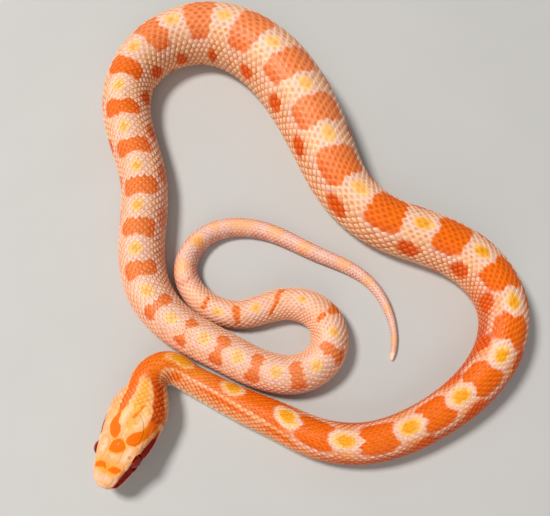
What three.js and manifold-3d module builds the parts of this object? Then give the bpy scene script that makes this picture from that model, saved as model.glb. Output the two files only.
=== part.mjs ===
// A corn snake lying in open loops on the floor, life-size. Millimetres, +Z up, belly on z = 0.
// The body is one loft of a flat-bellied section along a midline, parted by thin cross cuts.
import * as THREE from 'three';
import { mergeVertices } from 'three/addons/utils/BufferGeometryUtils.js';
import Module from 'manifold-3d';

const wasm = await Module();
wasm.setup();

// Driving dimensions.
const GAP = 0.3;
const HEAD_END = 16.6;
const NECK_END = 31;
const VENT = 318;
const TRUNK_LENGTHS = 16;
const TAIL_LENGTHS = 4;
const RING_STEP = 2.3;
const NECK_RING_STEP = 0.9;
const BODY_SIDE_STEPS = 11;
const HEAD_SIDE_STEPS = 18;
const HEAD_RINGS = 30;
const SNOUT_CROWDING = 1.5;
const MOUTH_CORNER = 12.2;
const MOUTH_CUT_REACH = 8;
const MOUTH_CUT_START = -1.5;
const MOUTH_CUT_STEPS = 16;
const WALK_STEPS = 4000;
const FRAME_STEP = 0.05;
// The half section's last place, at the middle of the belly, and the step for its normals.
const BELLY = 7;
const NORMAL_STEP = 0.1;
const SNOUT_ROUNDING = 2;
// How far the cutting shapes of the shields reach: over the crown, under the chin, out to the side
// and back from the snout's tip.
const CROWN_REACH = [2.9, 8];
const CHIN_REACH = [-2, 0.6];
const SIDE_REACH = [0.4, 8];
const FRONT_REACH = [-2, 0.42];
const EYE = { along: 5.25, side: 2.78, up: 3.3, depth: 1.08, length: 1.2, height: 1.1 };
const NOSTRIL = { along: 1.15, side: 1.9, up: 2.86, radius: 0.26 };
// Brings the middle of the whole outline over the origin.
const FRAME_SHIFT = [0.0127, -1.0595];

// The midline seen from above, from the snout's tip to the tail's tip.
const ROUTE = [
  [-31.02, -47.63], [-28.5, -41.3], [-26.4, -35.5], [-25.6, -32.2], [-25.45, -31.1], [-25.05, -30.05],
  [-24.35, -29.2], [-23.4, -28.65], [-22.3, -28.45], [-21.2, -28.65], [-20.2, -29.15], [-18.9, -29.95],
  [-16.9, -31.0], [-11.0, -34.0],
  [-4.8, -36.7], [2.2, -39.8], [10.6, -40.6], [18.9, -38.0], [26.7, -33.2], [33.0, -26.2], [35.2, -17.8],
  [31.8, -9.9], [24.9, -5.0],
  [15.9, -1.1], [8.9, 5.8], [4.6, 16.1], [-0.1, 27.5], [-7.3, 37.9], [-18.0, 43.7],
  [-28.1, 41.2], [-34.2, 32.4], [-33.5, 20.4], [-29.5, 7.2], [-28.9, -5.3], [-26.9, -14.3],
  [-21.45, -20.8], [-14.05, -25.05], [-7.0, -28.5], [-0.3, -29.2], [4.4, -25.5], [3.8, -19.3],
  [-2.6, -16.6], [-10.5, -18.5], [-17.8, -15.6], [-20.8, -9.4], [-17.2, -2.7], [-7.5, -1.4],
  [2.9, -6.2], [12.3, -11.6], [15.85, -18.0], [16.35, -23.2], [15.5, -27.0],
];

// Full width of the body at distances from the snout.
const GIRTH = [
  [15, 6.1], [18.4, 6], [20, 5.9], [21.4, 5.8], [22.9, 5.45], [24.3, 5.1], [26, 4.9], [30, 5.1],
  [36, 5.5], [42, 5.9], [50, 6.3], [60, 6.4], [70, 6.6],
  [80, 7.2], [90, 8.1], [100, 9.2], [112, 9.8], [122, 10.0], [130, 10.3], [139, 11.5], [149, 12.8],
  [160, 13.5], [170, 13.5], [180, 12.8], [190, 11.4], [200, 9.9], [210, 9.2], [222, 8.7],
  [236, 8.3], [249, 7.7], [258, 7.1], [268, 6.7], [278, 6.4], [288, 6.3], [296, 5.9], [304, 5.2],
  [312, 4.7], [319, 4.3], [329, 3.8], [339, 3.4], [349, 3.0], [358, 2.6], [365, 2.05], [370, 1.6],
  [374, 1.2], [378, 1.0], [380, 0.8], [380.9, 0.4],
];

// Height of the underside over the floor: the head and the neck are held just clear of it.
const LIFT = [[0, 1.9], [6, 1.7], [12, 1.5], [16, 1.2], [20, 0.7], [24, 0.25], [28, 0], [32, 0]];

// The body's half section for a half width of 1: crown, shoulders, widest, flank, belly edge, belly.
const BODY_SECTION = [
  [0, 1.72], [0.5, 1.56], [0.86, 1.16], [1, 0.7], [0.93, 0.3], [0.74, 0.06], [0.4, 0], [0, 0],
];

// Half sections of the head over its own underside, at distances from the snout: crown, crown's
// edge over the eye, cheek at eye level, upper lip, mouth line, lower lip, chin's side and chin.
const HEAD_SECTIONS = [
  {
    at: 0,
    points: [
      [0, 2.6], [0.34, 2.54], [0.52, 2.34], [0.58, 2.08],
      [0.54, 1.88], [0.45, 1.74], [0.22, 1.68], [0, 1.68],
    ],
  },
  {
    at: 0.15,
    points: [
      [0, 3.08], [0.66, 2.98], [1.05, 2.55], [1.2, 2],
      [1.12, 1.62], [0.88, 1.42], [0.44, 1.34], [0, 1.32],
    ],
  },
  {
    at: 0.5,
    points: [
      [0, 3.52], [1.06, 3.32], [1.54, 2.72], [1.78, 1.98],
      [1.68, 1.5], [1.36, 1], [0.8, 0.7], [0, 0.6],
    ],
  },
  {
    at: 1.3,
    points: [
      [0, 3.92], [1.45, 3.66], [2.02, 2.9], [2.34, 1.96],
      [2.22, 1.42], [1.9, 0.8], [1.2, 0.3], [0, 0.14],
    ],
  },
  {
    at: 2.6,
    points: [
      [0, 4.3], [1.85, 4.05], [2.46, 3.08], [2.86, 2.02],
      [2.74, 1.4], [2.42, 0.7], [1.55, 0.1], [0, 0],
    ],
  },
  {
    at: 4.2,
    points: [
      [0, 4.64], [2.5, 4.4], [2.92, 3.2], [3.34, 2.12],
      [3.22, 1.42], [2.88, 0.68], [1.85, 0.07], [0, 0],
    ],
  },
  {
    at: 5.8,
    points: [
      [0, 4.88], [3.02, 4.6], [3.28, 3.35], [3.74, 2.2],
      [3.6, 1.46], [3.28, 0.68], [2.1, 0.06], [0, 0],
    ],
  },
  {
    at: 7.5,
    points: [
      [0, 5.04], [2.98, 4.7], [3.76, 3.5], [4.24, 2.3],
      [4.1, 1.52], [3.66, 0.68], [2.3, 0.05], [0, 0],
    ],
  },
  {
    at: 10,
    points: [
      [0, 5.18], [2.8, 4.78], [4.14, 3.55], [4.64, 2.34],
      [4.48, 1.54], [3.94, 0.68], [2.45, 0.04], [0, 0],
    ],
  },
  {
    at: 12.6,
    points: [
      [0, 5.24], [2.65, 4.82], [4.2, 3.58], [4.72, 2.34],
      [4.54, 1.48], [3.92, 0.62], [2.4, 0.03], [0, 0],
    ],
  },
  {
    at: 14.8,
    points: [
      [0, 5.24], [2.3, 4.8], [3.65, 3.56], [4.1, 2.28],
      [3.92, 1.28], [3.28, 0.42], [2, 0.02], [0, 0],
    ],
  },
  {
    at: 16.8,
    points: [
      [0, 5.16], [1.8, 4.7], [2.82, 3.5], [3.12, 2.12],
      [2.94, 1.04], [2.4, 0.24], [1.4, 0.01], [0, 0],
    ],
  },
];
const HEAD_BLEND = [15.9, 19.5];

// The head's shields stand this far over the skin between them.
const SHIELD_RISE = 0.12;
// Half the bare seam beside a shield.
const SEAM = 0.08;
// Details of the head under this size are smoothed away.
const HEAD_FINENESS = 0.012;

// Shields of the crown, seen from above: distance from the snout, distance from the middle.
const FRONTAL = [[3.86, -1.2], [3.74, 0], [3.86, 1.2], [6.5, 1.2], [7.8, 0], [6.5, -1.2]];
const CROWN_PAIRS = [
  [[0.5, 0.08], [0.6, 0.95], [1.05, 1.35], [1.8, 1.45], [1.9, 0.08]],
  [[2.06, 0.08], [1.96, 1.55], [2.4, 1.95], [3.5, 2.25], [4.1, 2.1], [3.7, 1.35], [3.58, 0.08]],
  [[4.05, 1.42], [4.3, 2.25], [4.9, 2.85], [5.9, 3.1], [7, 3.05], [7.2, 2.3], [6.6, 1.4]],
  [[8.05, 0.08], [6.8, 1.42], [7.4, 2.3], [7.75, 2.85], [9.3, 2.8], [10.8, 2.15], [11.8, 0.9], [11.4, 0.08]],
];
const CHIN_PAIRS = [
  [[0.9, 0.08], [1.1, 0.5], [2, 0.85], [2.4, 0.08]],
  [[2.6, 0.08], [2.2, 0.95], [4.3, 1.05], [4.8, 0.08]],
  [[5, 0.2], [4.55, 1.1], [6.9, 1.1], [7.4, 0.5]],
];

// Shields of the head's side: distance from the snout, height over the head's underside.
const SIDE_SHIELDS = [
  [[0.6, 2.35], [0.6, 2.95], [1, 3.45], [1.85, 3.6], [1.9, 2.6]],
  [[2.1, 2.7], [2.1, 3.5], [3.2, 3.75], [3.3, 2.85]],
  [[3.5, 2.9], [3.4, 3.9], [4.05, 4.1], [4.1, 2.75]],
  [[6.6, 3.5], [6.5, 4.3], [7.25, 4.3], [7.4, 3.5]],
  [[6.6, 2.7], [6.7, 3.3], [7.45, 3.35], [7.5, 2.75]],
  [[7.7, 2.8], [7.65, 3.8], [9.3, 3.9], [9.4, 2.85]],
  [[9.6, 2.85], [9.5, 3.9], [11.3, 3.95], [11.5, 2.85]],
];
const UPPER_LIP_SEAMS = [0.55, 1.35, 2.35, 3.5, 4.8, 6.2, 7.8, 9.6, 11.7];
const LOWER_LIP_SEAMS = [0.6, 1.4, 2.3, 3.4, 4.7, 6.3, 8.1, 10, 11.8];
const UPPER_LIP_TOP = [[0.6, 2.2], [2, 2.5], [4, 2.6], [4.7, 2.15], [6.1, 2.15], [7.1, 2.55], [12, 2.65]];
const LOWER_LIP_FOOT = [[0.6, 0.9], [2.6, 0.6], [12, 0.65]];
// The shield at the snout's tip, seen from the front: height, distance from the middle.
const ROSTRAL = [[1.75, -0.75], [1.75, 0.75], [2.6, 0.9], [3.5, 0.3], [3.5, -0.3], [2.6, -0.9]];

const COLOURS = { pale: 0xf0c8a4, orange: 0xe8843c, peach: 0xf2b48c, eye: 0x7a1a16 };

// A natural cubic spline through values at growing knots.
function naturalSpline(knots, values) {
  const last = knots.length - 1;
  const bend = new Array(last + 1).fill(0);
  const sweep = new Array(last + 1).fill(0);
  for (let i = 1; i < last; i++) {
    const before = knots[i] - knots[i - 1];
    const after = knots[i + 1] - knots[i];
    const share = before / (before + after);
    const pivot = share * bend[i - 1] + 2;
    const jump = (values[i + 1] - values[i]) / after - (values[i] - values[i - 1]) / before;
    bend[i] = (share - 1) / pivot;
    sweep[i] = (6 * jump / (before + after) - share * sweep[i - 1]) / pivot;
  }
  bend[last] = 0;
  for (let i = last - 1; i >= 0; i--) bend[i] = bend[i] * bend[i + 1] + sweep[i];
  return (u) => {
    let i = 0;
    while (i < last - 1 && u > knots[i + 1]) i++;
    const step = knots[i + 1] - knots[i];
    const a = (knots[i + 1] - u) / step;
    const b = (u - knots[i]) / step;
    const curve = (a ** 3 - a) * bend[i] + (b ** 3 - b) * bend[i + 1];
    return a * values[i] + b * values[i + 1] + curve * step * step / 6;
  };
}

// A smooth curve through a table of [place, value], held level past its ends.
function smoothTable(rows) {
  const slope = rows.map((row, i) => {
    const before = rows[Math.max(i - 1, 0)];
    const after = rows[Math.min(i + 1, rows.length - 1)];
    return (after[1] - before[1]) / (after[0] - before[0]);
  });
  return (place) => {
    if (place <= rows[0][0]) return rows[0][1];
    if (place >= rows[rows.length - 1][0]) return rows[rows.length - 1][1];
    let i = 0;
    while (place > rows[i + 1][0]) i++;
    const step = rows[i + 1][0] - rows[i][0];
    const t = (place - rows[i][0]) / step;
    const rise = rows[i + 1][1] - rows[i][1];
    const bow = (slope[i] * step - rise) * (1 - t) - (slope[i + 1] * step - rise) * t;
    return rows[i][1] + t * rise + t * (1 - t) * bow;
  };
}

function smoothStep(from, to, value) {
  const t = Math.min(Math.max((value - from) / (to - from), 0), 1);
  return t * t * (3 - 2 * t);
}

// The midline by distance along it: a fine walk over the spline, then looked up by length.
function makeMidline(route) {
  const chord = [0];
  for (let i = 1; i < route.length; i++) {
    chord.push(chord[i - 1] + Math.hypot(route[i][0] - route[i - 1][0], route[i][1] - route[i - 1][1]));
  }
  const x = naturalSpline(chord, route.map((point) => point[0]));
  const y = naturalSpline(chord, route.map((point) => point[1]));
  const walk = [];
  let length = 0;
  for (let i = 0; i <= WALK_STEPS; i++) {
    const u = chord[chord.length - 1] * i / WALK_STEPS;
    const point = [x(u), y(u)];
    if (i > 0) length += Math.hypot(point[0] - walk[i - 1].x, point[1] - walk[i - 1].y);
    walk.push({ at: length, x: point[0], y: point[1] });
  }
  const place = (at) => {
    let low = 0;
    let high = WALK_STEPS;
    while (high - low > 1) {
      const middle = (low + high) >> 1;
      if (walk[middle].at <= at) low = middle;
      else high = middle;
    }
    const t = (at - walk[low].at) / (walk[high].at - walk[low].at);
    return [
      walk[low].x + t * (walk[high].x - walk[low].x),
      walk[low].y + t * (walk[high].y - walk[low].y),
    ];
  };
  return { length, place };
}

const midline = makeMidline(ROUTE);
const girth = smoothTable(GIRTH);
const lift = smoothTable(LIFT);

// Each point of the head's section as two smooth tables along the head.
const headTables = BODY_SECTION.map((unused, k) => ({
  side: smoothTable(HEAD_SECTIONS.map((section) => [section.at, section.points[k][0]])),
  up: smoothTable(HEAD_SECTIONS.map((section) => [section.at, section.points[k][1]])),
}));

function halfSection(at) {
  const halfWidth = girth(at) / 2;
  const share = smoothStep(HEAD_BLEND[0], HEAD_BLEND[1], at);
  return BODY_SECTION.map((point, k) => {
    const head = [headTables[k].side(at), headTables[k].up(at)];
    return [
      head[0] + share * (point[0] * halfWidth - head[0]),
      head[1] + share * (point[1] * halfWidth - head[1]),
    ];
  });
}

// A place on the half section, from 0 at the crown to 7 at the middle of the belly.
function sectionPoint(section, t) {
  const last = section.length - 1;
  const i = Math.min(Math.floor(t), last - 1);
  const f = t - i;
  const mirrored = (k) => (k < 0 || k > last ? [-section[k < 0 ? -k : 2 * last - k][0],
    section[k < 0 ? -k : 2 * last - k][1]] : section[k]);
  const [a, b, c, d] = [mirrored(i - 1), section[i], section[i + 1], mirrored(i + 2)];
  const blend = (n) => 0.5 * (2 * b[n] + (c[n] - a[n]) * f + (2 * a[n] - 5 * b[n] + 4 * c[n] - d[n]) * f * f
    + (3 * b[n] - a[n] - 3 * c[n] + d[n]) * f * f * f);
  return [blend(0), Math.max(blend(1), 0)];
}

// The frame across the midline: its origin on the floor, and the direction of the animal's left.
function crossFrame(at) {
  const inside = Math.min(Math.max(at, FRAME_STEP), midline.length - FRAME_STEP);
  const [x, y] = midline.place(inside);
  const [backX, backY] = midline.place(inside - FRAME_STEP);
  const [onX, onY] = midline.place(inside + FRAME_STEP);
  const size = Math.hypot(onX - backX, onY - backY);
  const along = [(onX - backX) / size, (onY - backY) / size];
  const past = at - inside;
  return { x: x + along[0] * past, y: y + along[1] * past, left: [along[1], -along[0]], along };
}

function toWorld(at, side, up) {
  const frame = crossFrame(at);
  return [
    frame.x + frame.left[0] * side + FRAME_SHIFT[0],
    frame.y + frame.left[1] * side + FRAME_SHIFT[1],
    up + Math.max(lift(at), 0),
  ];
}

// The outward direction in the section at a place on it.
function sectionNormal(section, t) {
  const [side, up] = sectionPoint(section, Math.max(t - NORMAL_STEP, 0));
  const [nextSide, nextUp] = sectionPoint(section, Math.min(t + NORMAL_STEP, BELLY));
  const size = Math.hypot(nextSide - side, nextUp - up);
  return [(up - nextUp) / size, (nextSide - side) / size];
}

// One ring of the skin, all of it raised by the given height.
function ring(at, sideSteps, rise = 0) {
  const section = halfSection(at);
  const forward = rise * (1 - smoothStep(0, SNOUT_ROUNDING, at));
  const points = [];
  for (let j = 0; j < 2 * sideSteps; j++) {
    const round = j <= sideSteps ? j : 2 * sideSteps - j;
    const hand = j <= sideSteps ? 1 : -1;
    const t = BELLY * round / sideSteps;
    const [side, up] = sectionPoint(section, t);
    const [outward, upward] = sectionNormal(section, t);
    points.push(toWorld(at - forward, hand * (side + rise * outward), up + rise * upward));
  }
  return points;
}

// A closed skin over rings, with a fan to the middle of the first and of the last ring.
function loftGeometry(rings) {
  const count = rings[0].length;
  const positions = rings.flat(2);
  const faces = [];
  const centre = (points) => [0, 1, 2].map((n) => points.reduce((sum, p) => sum + p[n], 0) / count);
  for (let i = 0; i < rings.length - 1; i++) {
    for (let j = 0; j < count; j++) {
      const a = i * count + j;
      const b = i * count + (j + 1) % count;
      faces.push(a, b, a + count, b, b + count, a + count);
    }
  }
  const first = positions.length / 3;
  positions.push(...centre(rings[0]), ...centre(rings[rings.length - 1]));
  const lastRing = (rings.length - 1) * count;
  for (let j = 0; j < count; j++) {
    const next = (j + 1) % count;
    faces.push(first, next, j, first + 1, lastRing + j, lastRing + next);
  }
  const geometry = new THREE.BufferGeometry();
  geometry.setAttribute('position', new THREE.Float32BufferAttribute(positions, 3));
  geometry.setIndex(faces);
  return geometry;
}

function bodyLength(from, to, ringStep) {
  const steps = Math.ceil((to - from) / ringStep);
  const rings = [];
  for (let i = 0; i <= steps; i++) rings.push(ring(from + (to - from) * i / steps, BODY_SIDE_STEPS));
  return loftGeometry(rings);
}

function toSolid(geometry) {
  const bare = geometry.clone();
  bare.deleteAttribute('normal');
  bare.deleteAttribute('uv');
  const merged = mergeVertices(bare, 1e-4);
  return new wasm.Manifold(new wasm.Mesh({
    numProp: 3,
    vertProperties: new Float32Array(merged.attributes.position.array),
    triVerts: new Uint32Array(merged.index.array),
  }));
}

function fromSolid(solid) {
  const bodies = solid.decompose();
  bodies.sort((a, b) => b.volume() - a.volume());
  const mesh = bodies[0].getMesh();
  const geometry = new THREE.BufferGeometry();
  geometry.setAttribute('position', new THREE.Float32BufferAttribute(mesh.vertProperties, 3));
  geometry.setIndex(Array.from(mesh.triVerts));
  return geometry;
}

// The head without its mouth, raised all over by the given height.
function headLoft(rise) {
  const rings = [];
  const end = HEAD_END - GAP / 2;
  for (let i = 0; i <= HEAD_RINGS; i++) {
    rings.push(ring(end * (i / HEAD_RINGS) ** SNOUT_CROWDING, HEAD_SIDE_STEPS, rise));
  }
  return toSolid(loftGeometry(rings));
}

// A solid with straight sides over a flat outline, carried to its place by the given function.
function prism(outline, from, to, place) {
  const shape = new THREE.Shape(outline.map(([a, b]) => new THREE.Vector2(a, b)));
  const geometry = new THREE.ExtrudeGeometry(shape, { depth: to - from, bevelEnabled: false });
  const spots = geometry.attributes.position;
  for (let i = 0; i < spots.count; i++) {
    spots.setXYZ(i, ...place(spots.getX(i), spots.getY(i), spots.getZ(i) + from));
  }
  return toSolid(geometry);
}

function planPrism(outline, hand, from, to) {
  const flipped = outline.map(([at, side]) => [hand * side, at]);
  return prism(flipped, from, to, (side, at, up) => toWorld(at, side, up));
}

function sidePrism(outline, hand) {
  const [from, to] = hand > 0 ? [SIDE_REACH[0], SIDE_REACH[1]] : [-SIDE_REACH[1], -SIDE_REACH[0]];
  return prism(outline, from, to, (at, up, side) => toWorld(at, side, up));
}

function frontPrism(outline, from, to) {
  return prism(outline, from, to, (up, side, at) => toWorld(at, side, up));
}

// Outlines of the lip shields between the line of the mouth and a second line over or under it.
function lipShields(seams, mouthSide, farSide) {
  return seams.slice(1).map((stop, i) => {
    const [from, to] = [seams[i] + SEAM, stop - SEAM];
    const middle = (from + to) / 2;
    return [
      [from, mouthSide(from)], [middle, mouthSide(middle)], [to, mouthSide(to)],
      [to, farSide(to)], [middle, farSide(middle)], [from, farSide(from)],
    ];
  });
}

function mouthLine(at) {
  return headTables[4].up(Math.max(at, 0.6));
}

function shieldPrisms() {
  const upperLip = lipShields(UPPER_LIP_SEAMS, mouthLine, smoothTable(UPPER_LIP_TOP));
  const lowerLip = lipShields(LOWER_LIP_SEAMS, mouthLine, smoothTable(LOWER_LIP_FOOT));
  const prisms = [planPrism(FRONTAL, 1, ...CROWN_REACH), frontPrism(ROSTRAL, ...FRONT_REACH)];
  for (const hand of [1, -1]) {
    for (const outline of CROWN_PAIRS) prisms.push(planPrism(outline, hand, ...CROWN_REACH));
    for (const outline of CHIN_PAIRS) prisms.push(planPrism(outline, hand, ...CHIN_REACH));
    for (const outline of [...SIDE_SHIELDS, ...upperLip, ...lowerLip]) prisms.push(sidePrism(outline, hand));
  }
  return prisms;
}

// The whole head with every shield raised on it.
function wholeHead() {
  const raised = headLoft(SHIELD_RISE);
  const head = shieldPrisms().reduce((sum, shield) => sum.add(raised.intersect(shield)), headLoft(0));
  return head.simplify(HEAD_FINENESS);
}

// What lies under the line of the mouth, as far back as the mouth's corner.
function underMouth(raise, corner) {
  const rings = [];
  for (let i = 0; i <= MOUTH_CUT_STEPS; i++) {
    const at = MOUTH_CUT_START + (corner - MOUTH_CUT_START) * i / MOUTH_CUT_STEPS;
    const up = mouthLine(at) + raise;
    const corners = [[MOUTH_CUT_REACH, up], [MOUTH_CUT_REACH, -MOUTH_CUT_REACH],
      [-MOUTH_CUT_REACH, -MOUTH_CUT_REACH], [-MOUTH_CUT_REACH, up], [0, up]];
    rings.push(corners.map(([side, height]) => toWorld(at, side, height)));
  }
  return toSolid(loftGeometry(rings));
}

// An egg-shaped ball set in the head's side, at its own place and size plus an allowance.
function sideBall(place, hand, size, segments) {
  const frame = crossFrame(place.along);
  const geometry = new THREE.SphereGeometry(1, segments, Math.round(segments * 0.7));
  geometry.rotateX(Math.PI / 2);
  geometry.scale(size[0], size[1], size[2]);
  geometry.rotateZ(Math.atan2(frame.left[1], frame.left[0]));
  geometry.translate(...toWorld(place.along, hand * place.side, place.up));
  return geometry;
}

function eyeBall(hand, allowance) {
  const size = [EYE.depth + allowance, EYE.length + allowance, EYE.height + allowance];
  return sideBall(EYE, hand, size, 16);
}

function nostril(hand) {
  const size = [NOSTRIL.radius, NOSTRIL.radius * 1.3, NOSTRIL.radius];
  return sideBall(NOSTRIL, hand, size, 8);
}

const model = new THREE.Group();

function addPart(name, geometry, colour, roughness) {
  const material = new THREE.MeshStandardMaterial({ color: colour, roughness, metalness: 0 });
  const mesh = new THREE.Mesh(geometry, material);
  mesh.name = name;
  model.add(mesh);
}

function addHead() {
  const whole = wholeHead();
  const jaw = whole.intersect(underMouth(-GAP / 2, MOUTH_CORNER - GAP / 2));
  let head = whole.subtract(underMouth(GAP / 2, MOUTH_CORNER + GAP / 2));
  for (const hand of [1, -1]) {
    head = head.subtract(toSolid(eyeBall(hand, GAP)));
    head = head.subtract(toSolid(nostril(hand)));
  }
  addPart('head', fromSolid(head), COLOURS.peach, 0.45);
  addPart('jaw', fromSolid(jaw), COLOURS.pale, 0.45);
  addPart('eye_left', eyeBall(1, 0), COLOURS.eye, 0.1);
  addPart('eye_right', eyeBall(-1, 0), COLOURS.eye, 0.1);
}

// A run of equal lengths between two places, parted by cuts as wide as the gap.
function addRun(name, from, to, count, ringStep, colour) {
  const step = (to - from) / count;
  for (let i = 0; i < count; i++) {
    const label = count > 1 ? `${name}_${String(i + 1).padStart(2, '0')}` : name;
    const end = from + step * (i + 1);
    const stop = end >= midline.length - GAP ? end : end - GAP / 2;
    addPart(label, bodyLength(from + step * i + GAP / 2, stop, ringStep), colour, 0.5);
  }
}

addHead();
addRun('neck', HEAD_END, NECK_END, 1, NECK_RING_STEP, COLOURS.orange);
addRun('trunk', NECK_END, VENT, TRUNK_LENGTHS, RING_STEP, COLOURS.orange);
addRun('tail', VENT, midline.length, TAIL_LENGTHS, RING_STEP, COLOURS.pale);

export default model;
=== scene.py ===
import math

import bpy
import numpy as np
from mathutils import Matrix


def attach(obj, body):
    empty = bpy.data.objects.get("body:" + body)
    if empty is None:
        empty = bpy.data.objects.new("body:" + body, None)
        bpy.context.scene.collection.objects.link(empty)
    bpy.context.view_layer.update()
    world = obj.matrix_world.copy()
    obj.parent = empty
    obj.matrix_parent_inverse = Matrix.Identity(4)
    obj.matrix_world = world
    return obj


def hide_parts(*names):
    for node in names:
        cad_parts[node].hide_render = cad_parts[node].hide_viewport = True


MM = 0.001

# The camera: the photograph's angle, lens and framing.
LOOK_AT = (-4.4873 * MM, -7.8595 * MM, 0.0)
CAMERA_DISTANCE = 120.88 * MM
CAMERA_TILT = math.radians(25.0)
FOCAL_PIXELS = 650.0
PHOTO_WIDTH = 550.0
SENSOR_WIDTH = 36.0
NEAREST_SEEN = 0.001

# The midline seen from above, from the snout's tip to the tail's tip.
FRAME_SHIFT = (0.0127 * MM, -1.0595 * MM)
ROUTE = MM * np.array([
    (-31.02, -47.63), (-28.5, -41.3), (-26.4, -35.5), (-25.6, -32.2), (-25.45, -31.1),
    (-25.05, -30.05), (-24.35, -29.2), (-23.4, -28.65), (-22.3, -28.45), (-21.2, -28.65),
    (-20.2, -29.15), (-18.9, -29.95), (-16.9, -31.0), (-11.0, -34.0), (-4.8, -36.7),
    (2.2, -39.8), (10.6, -40.6), (18.9, -38.0), (26.7, -33.2), (33.0, -26.2), (35.2, -17.8),
    (31.8, -9.9), (24.9, -5.0), (15.9, -1.1), (8.9, 5.8), (4.6, 16.1), (-0.1, 27.5),
    (-7.3, 37.9), (-18.0, 43.7), (-28.1, 41.2), (-34.2, 32.4), (-33.5, 20.4), (-29.5, 7.2),
    (-28.9, -5.3), (-26.9, -14.3), (-21.45, -20.8), (-14.05, -25.05), (-7.0, -28.5),
    (-0.3, -29.2), (4.4, -25.5), (3.8, -19.3), (-2.6, -16.6), (-10.5, -18.5), (-17.8, -15.6),
    (-20.8, -9.4), (-17.2, -2.7), (-7.5, -1.4), (2.9, -6.2), (12.3, -11.6), (15.85, -18.0),
    (16.35, -23.2), (15.5, -27.0),
])

# Full width of the body at distances from the snout.
GIRTH = MM * np.array([
    (15, 6.1), (18.4, 6.0), (20, 5.9), (21.4, 5.8), (22.9, 5.45), (24.3, 5.1), (26, 4.9),
    (30, 5.1), (36, 5.5), (42, 5.9), (50, 6.3), (60, 6.4), (70, 6.6), (80, 7.2), (90, 8.1),
    (100, 9.2), (112, 9.8), (122, 10.0), (130, 10.3), (139, 11.5), (149, 12.8), (160, 13.5),
    (170, 13.5), (180, 12.8), (190, 11.4), (200, 9.9), (210, 9.2), (222, 8.7), (236, 8.3),
    (249, 7.7), (258, 7.1), (268, 6.7), (278, 6.4), (288, 6.3), (296, 5.9), (304, 5.2),
    (312, 4.7), (319, 4.3), (329, 3.8), (339, 3.4), (349, 3.0), (358, 2.6), (365, 2.05),
    (370, 1.6), (374, 1.2), (378, 1.0), (380, 0.8), (380.9, 0.4),
])

# Height of the underside over the floor.
LIFT = MM * np.array([
    (0, 1.9), (6, 1.7), (12, 1.5), (16, 1.2), (20, 0.7), (24, 0.25), (28, 0), (32, 0),
])

# The body's half section for a half width of 1, from the crown to the middle of the belly.
BODY_SECTION = np.array([
    (0, 1.72), (0.5, 1.56), (0.86, 1.16), (1, 0.7), (0.93, 0.3), (0.74, 0.06), (0.4, 0), (0, 0),
])

# Half sections of the head at distances from the snout: crown, crown's edge over the eye, cheek
# at eye level, upper lip, mouth line, lower lip, chin's side and chin.
HEAD_SECTIONS = [
    (0, [(0, 2.6), (0.34, 2.54), (0.52, 2.34), (0.58, 2.08),
         (0.54, 1.88), (0.45, 1.74), (0.22, 1.68), (0, 1.68)]),
    (0.15, [(0, 3.08), (0.66, 2.98), (1.05, 2.55), (1.2, 2),
            (1.12, 1.62), (0.88, 1.42), (0.44, 1.34), (0, 1.32)]),
    (0.5, [(0, 3.52), (1.06, 3.32), (1.54, 2.72), (1.78, 1.98),
           (1.68, 1.5), (1.36, 1), (0.8, 0.7), (0, 0.6)]),
    (1.3, [(0, 3.92), (1.45, 3.66), (2.02, 2.9), (2.34, 1.96),
           (2.22, 1.42), (1.9, 0.8), (1.2, 0.3), (0, 0.14)]),
    (2.6, [(0, 4.3), (1.85, 4.05), (2.46, 3.08), (2.86, 2.02),
           (2.74, 1.4), (2.42, 0.7), (1.55, 0.1), (0, 0)]),
    (4.2, [(0, 4.64), (2.5, 4.4), (2.92, 3.2), (3.34, 2.12),
           (3.22, 1.42), (2.88, 0.68), (1.85, 0.07), (0, 0)]),
    (5.8, [(0, 4.88), (3.02, 4.6), (3.28, 3.35), (3.74, 2.2),
           (3.6, 1.46), (3.28, 0.68), (2.1, 0.06), (0, 0)]),
    (7.5, [(0, 5.04), (2.98, 4.7), (3.76, 3.5), (4.24, 2.3),
           (4.1, 1.52), (3.66, 0.68), (2.3, 0.05), (0, 0)]),
    (10, [(0, 5.18), (2.8, 4.78), (4.14, 3.55), (4.64, 2.34),
          (4.48, 1.54), (3.94, 0.68), (2.45, 0.04), (0, 0)]),
    (12.6, [(0, 5.24), (2.65, 4.82), (4.2, 3.58), (4.72, 2.34),
            (4.54, 1.48), (3.92, 0.62), (2.4, 0.03), (0, 0)]),
    (14.8, [(0, 5.24), (2.3, 4.8), (3.65, 3.56), (4.1, 2.28),
            (3.92, 1.28), (3.28, 0.42), (2, 0.02), (0, 0)]),
    (16.8, [(0, 5.16), (1.8, 4.7), (2.82, 3.5), (3.12, 2.12),
            (2.94, 1.04), (2.4, 0.24), (1.4, 0.01), (0, 0)]),
]

# Where the head's sections go over into the neck's.
HEAD_BLEND = (15.9 * MM, 19.5 * MM)

# Places on the half section: the line of the mouth and the edge of the belly scales.
MOUTH_PLACE = 4.0
BELLY_EDGE_PLACE = 4.55
BELLY = 7

# How far behind the snout's tip the head ends and the mouth's corner lies.
HEAD_LENGTH = 16.6 * MM
MOUTH_CORNER = 12.2 * MM
# Middles and half sizes of the eye and the nostril, in millimetres.
EYE = {"along": 5.25, "side": 2.78, "up": 3.3, "depth": 1.08, "length": 1.2, "height": 1.1}
NOSTRIL = {"along": 1.15, "up": 2.86, "radius": 0.24}

# The socket round the eye and its lid, at distances from the eye's middle as shares of its size.
SOCKET_DEPTH = 0.55 * MM
SOCKET_EDGE = (1.06, 0.9)
LID_RISE = 0.1 * MM
LID_PLACE = 1.16
LID_WIDTH = 0.13
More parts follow.
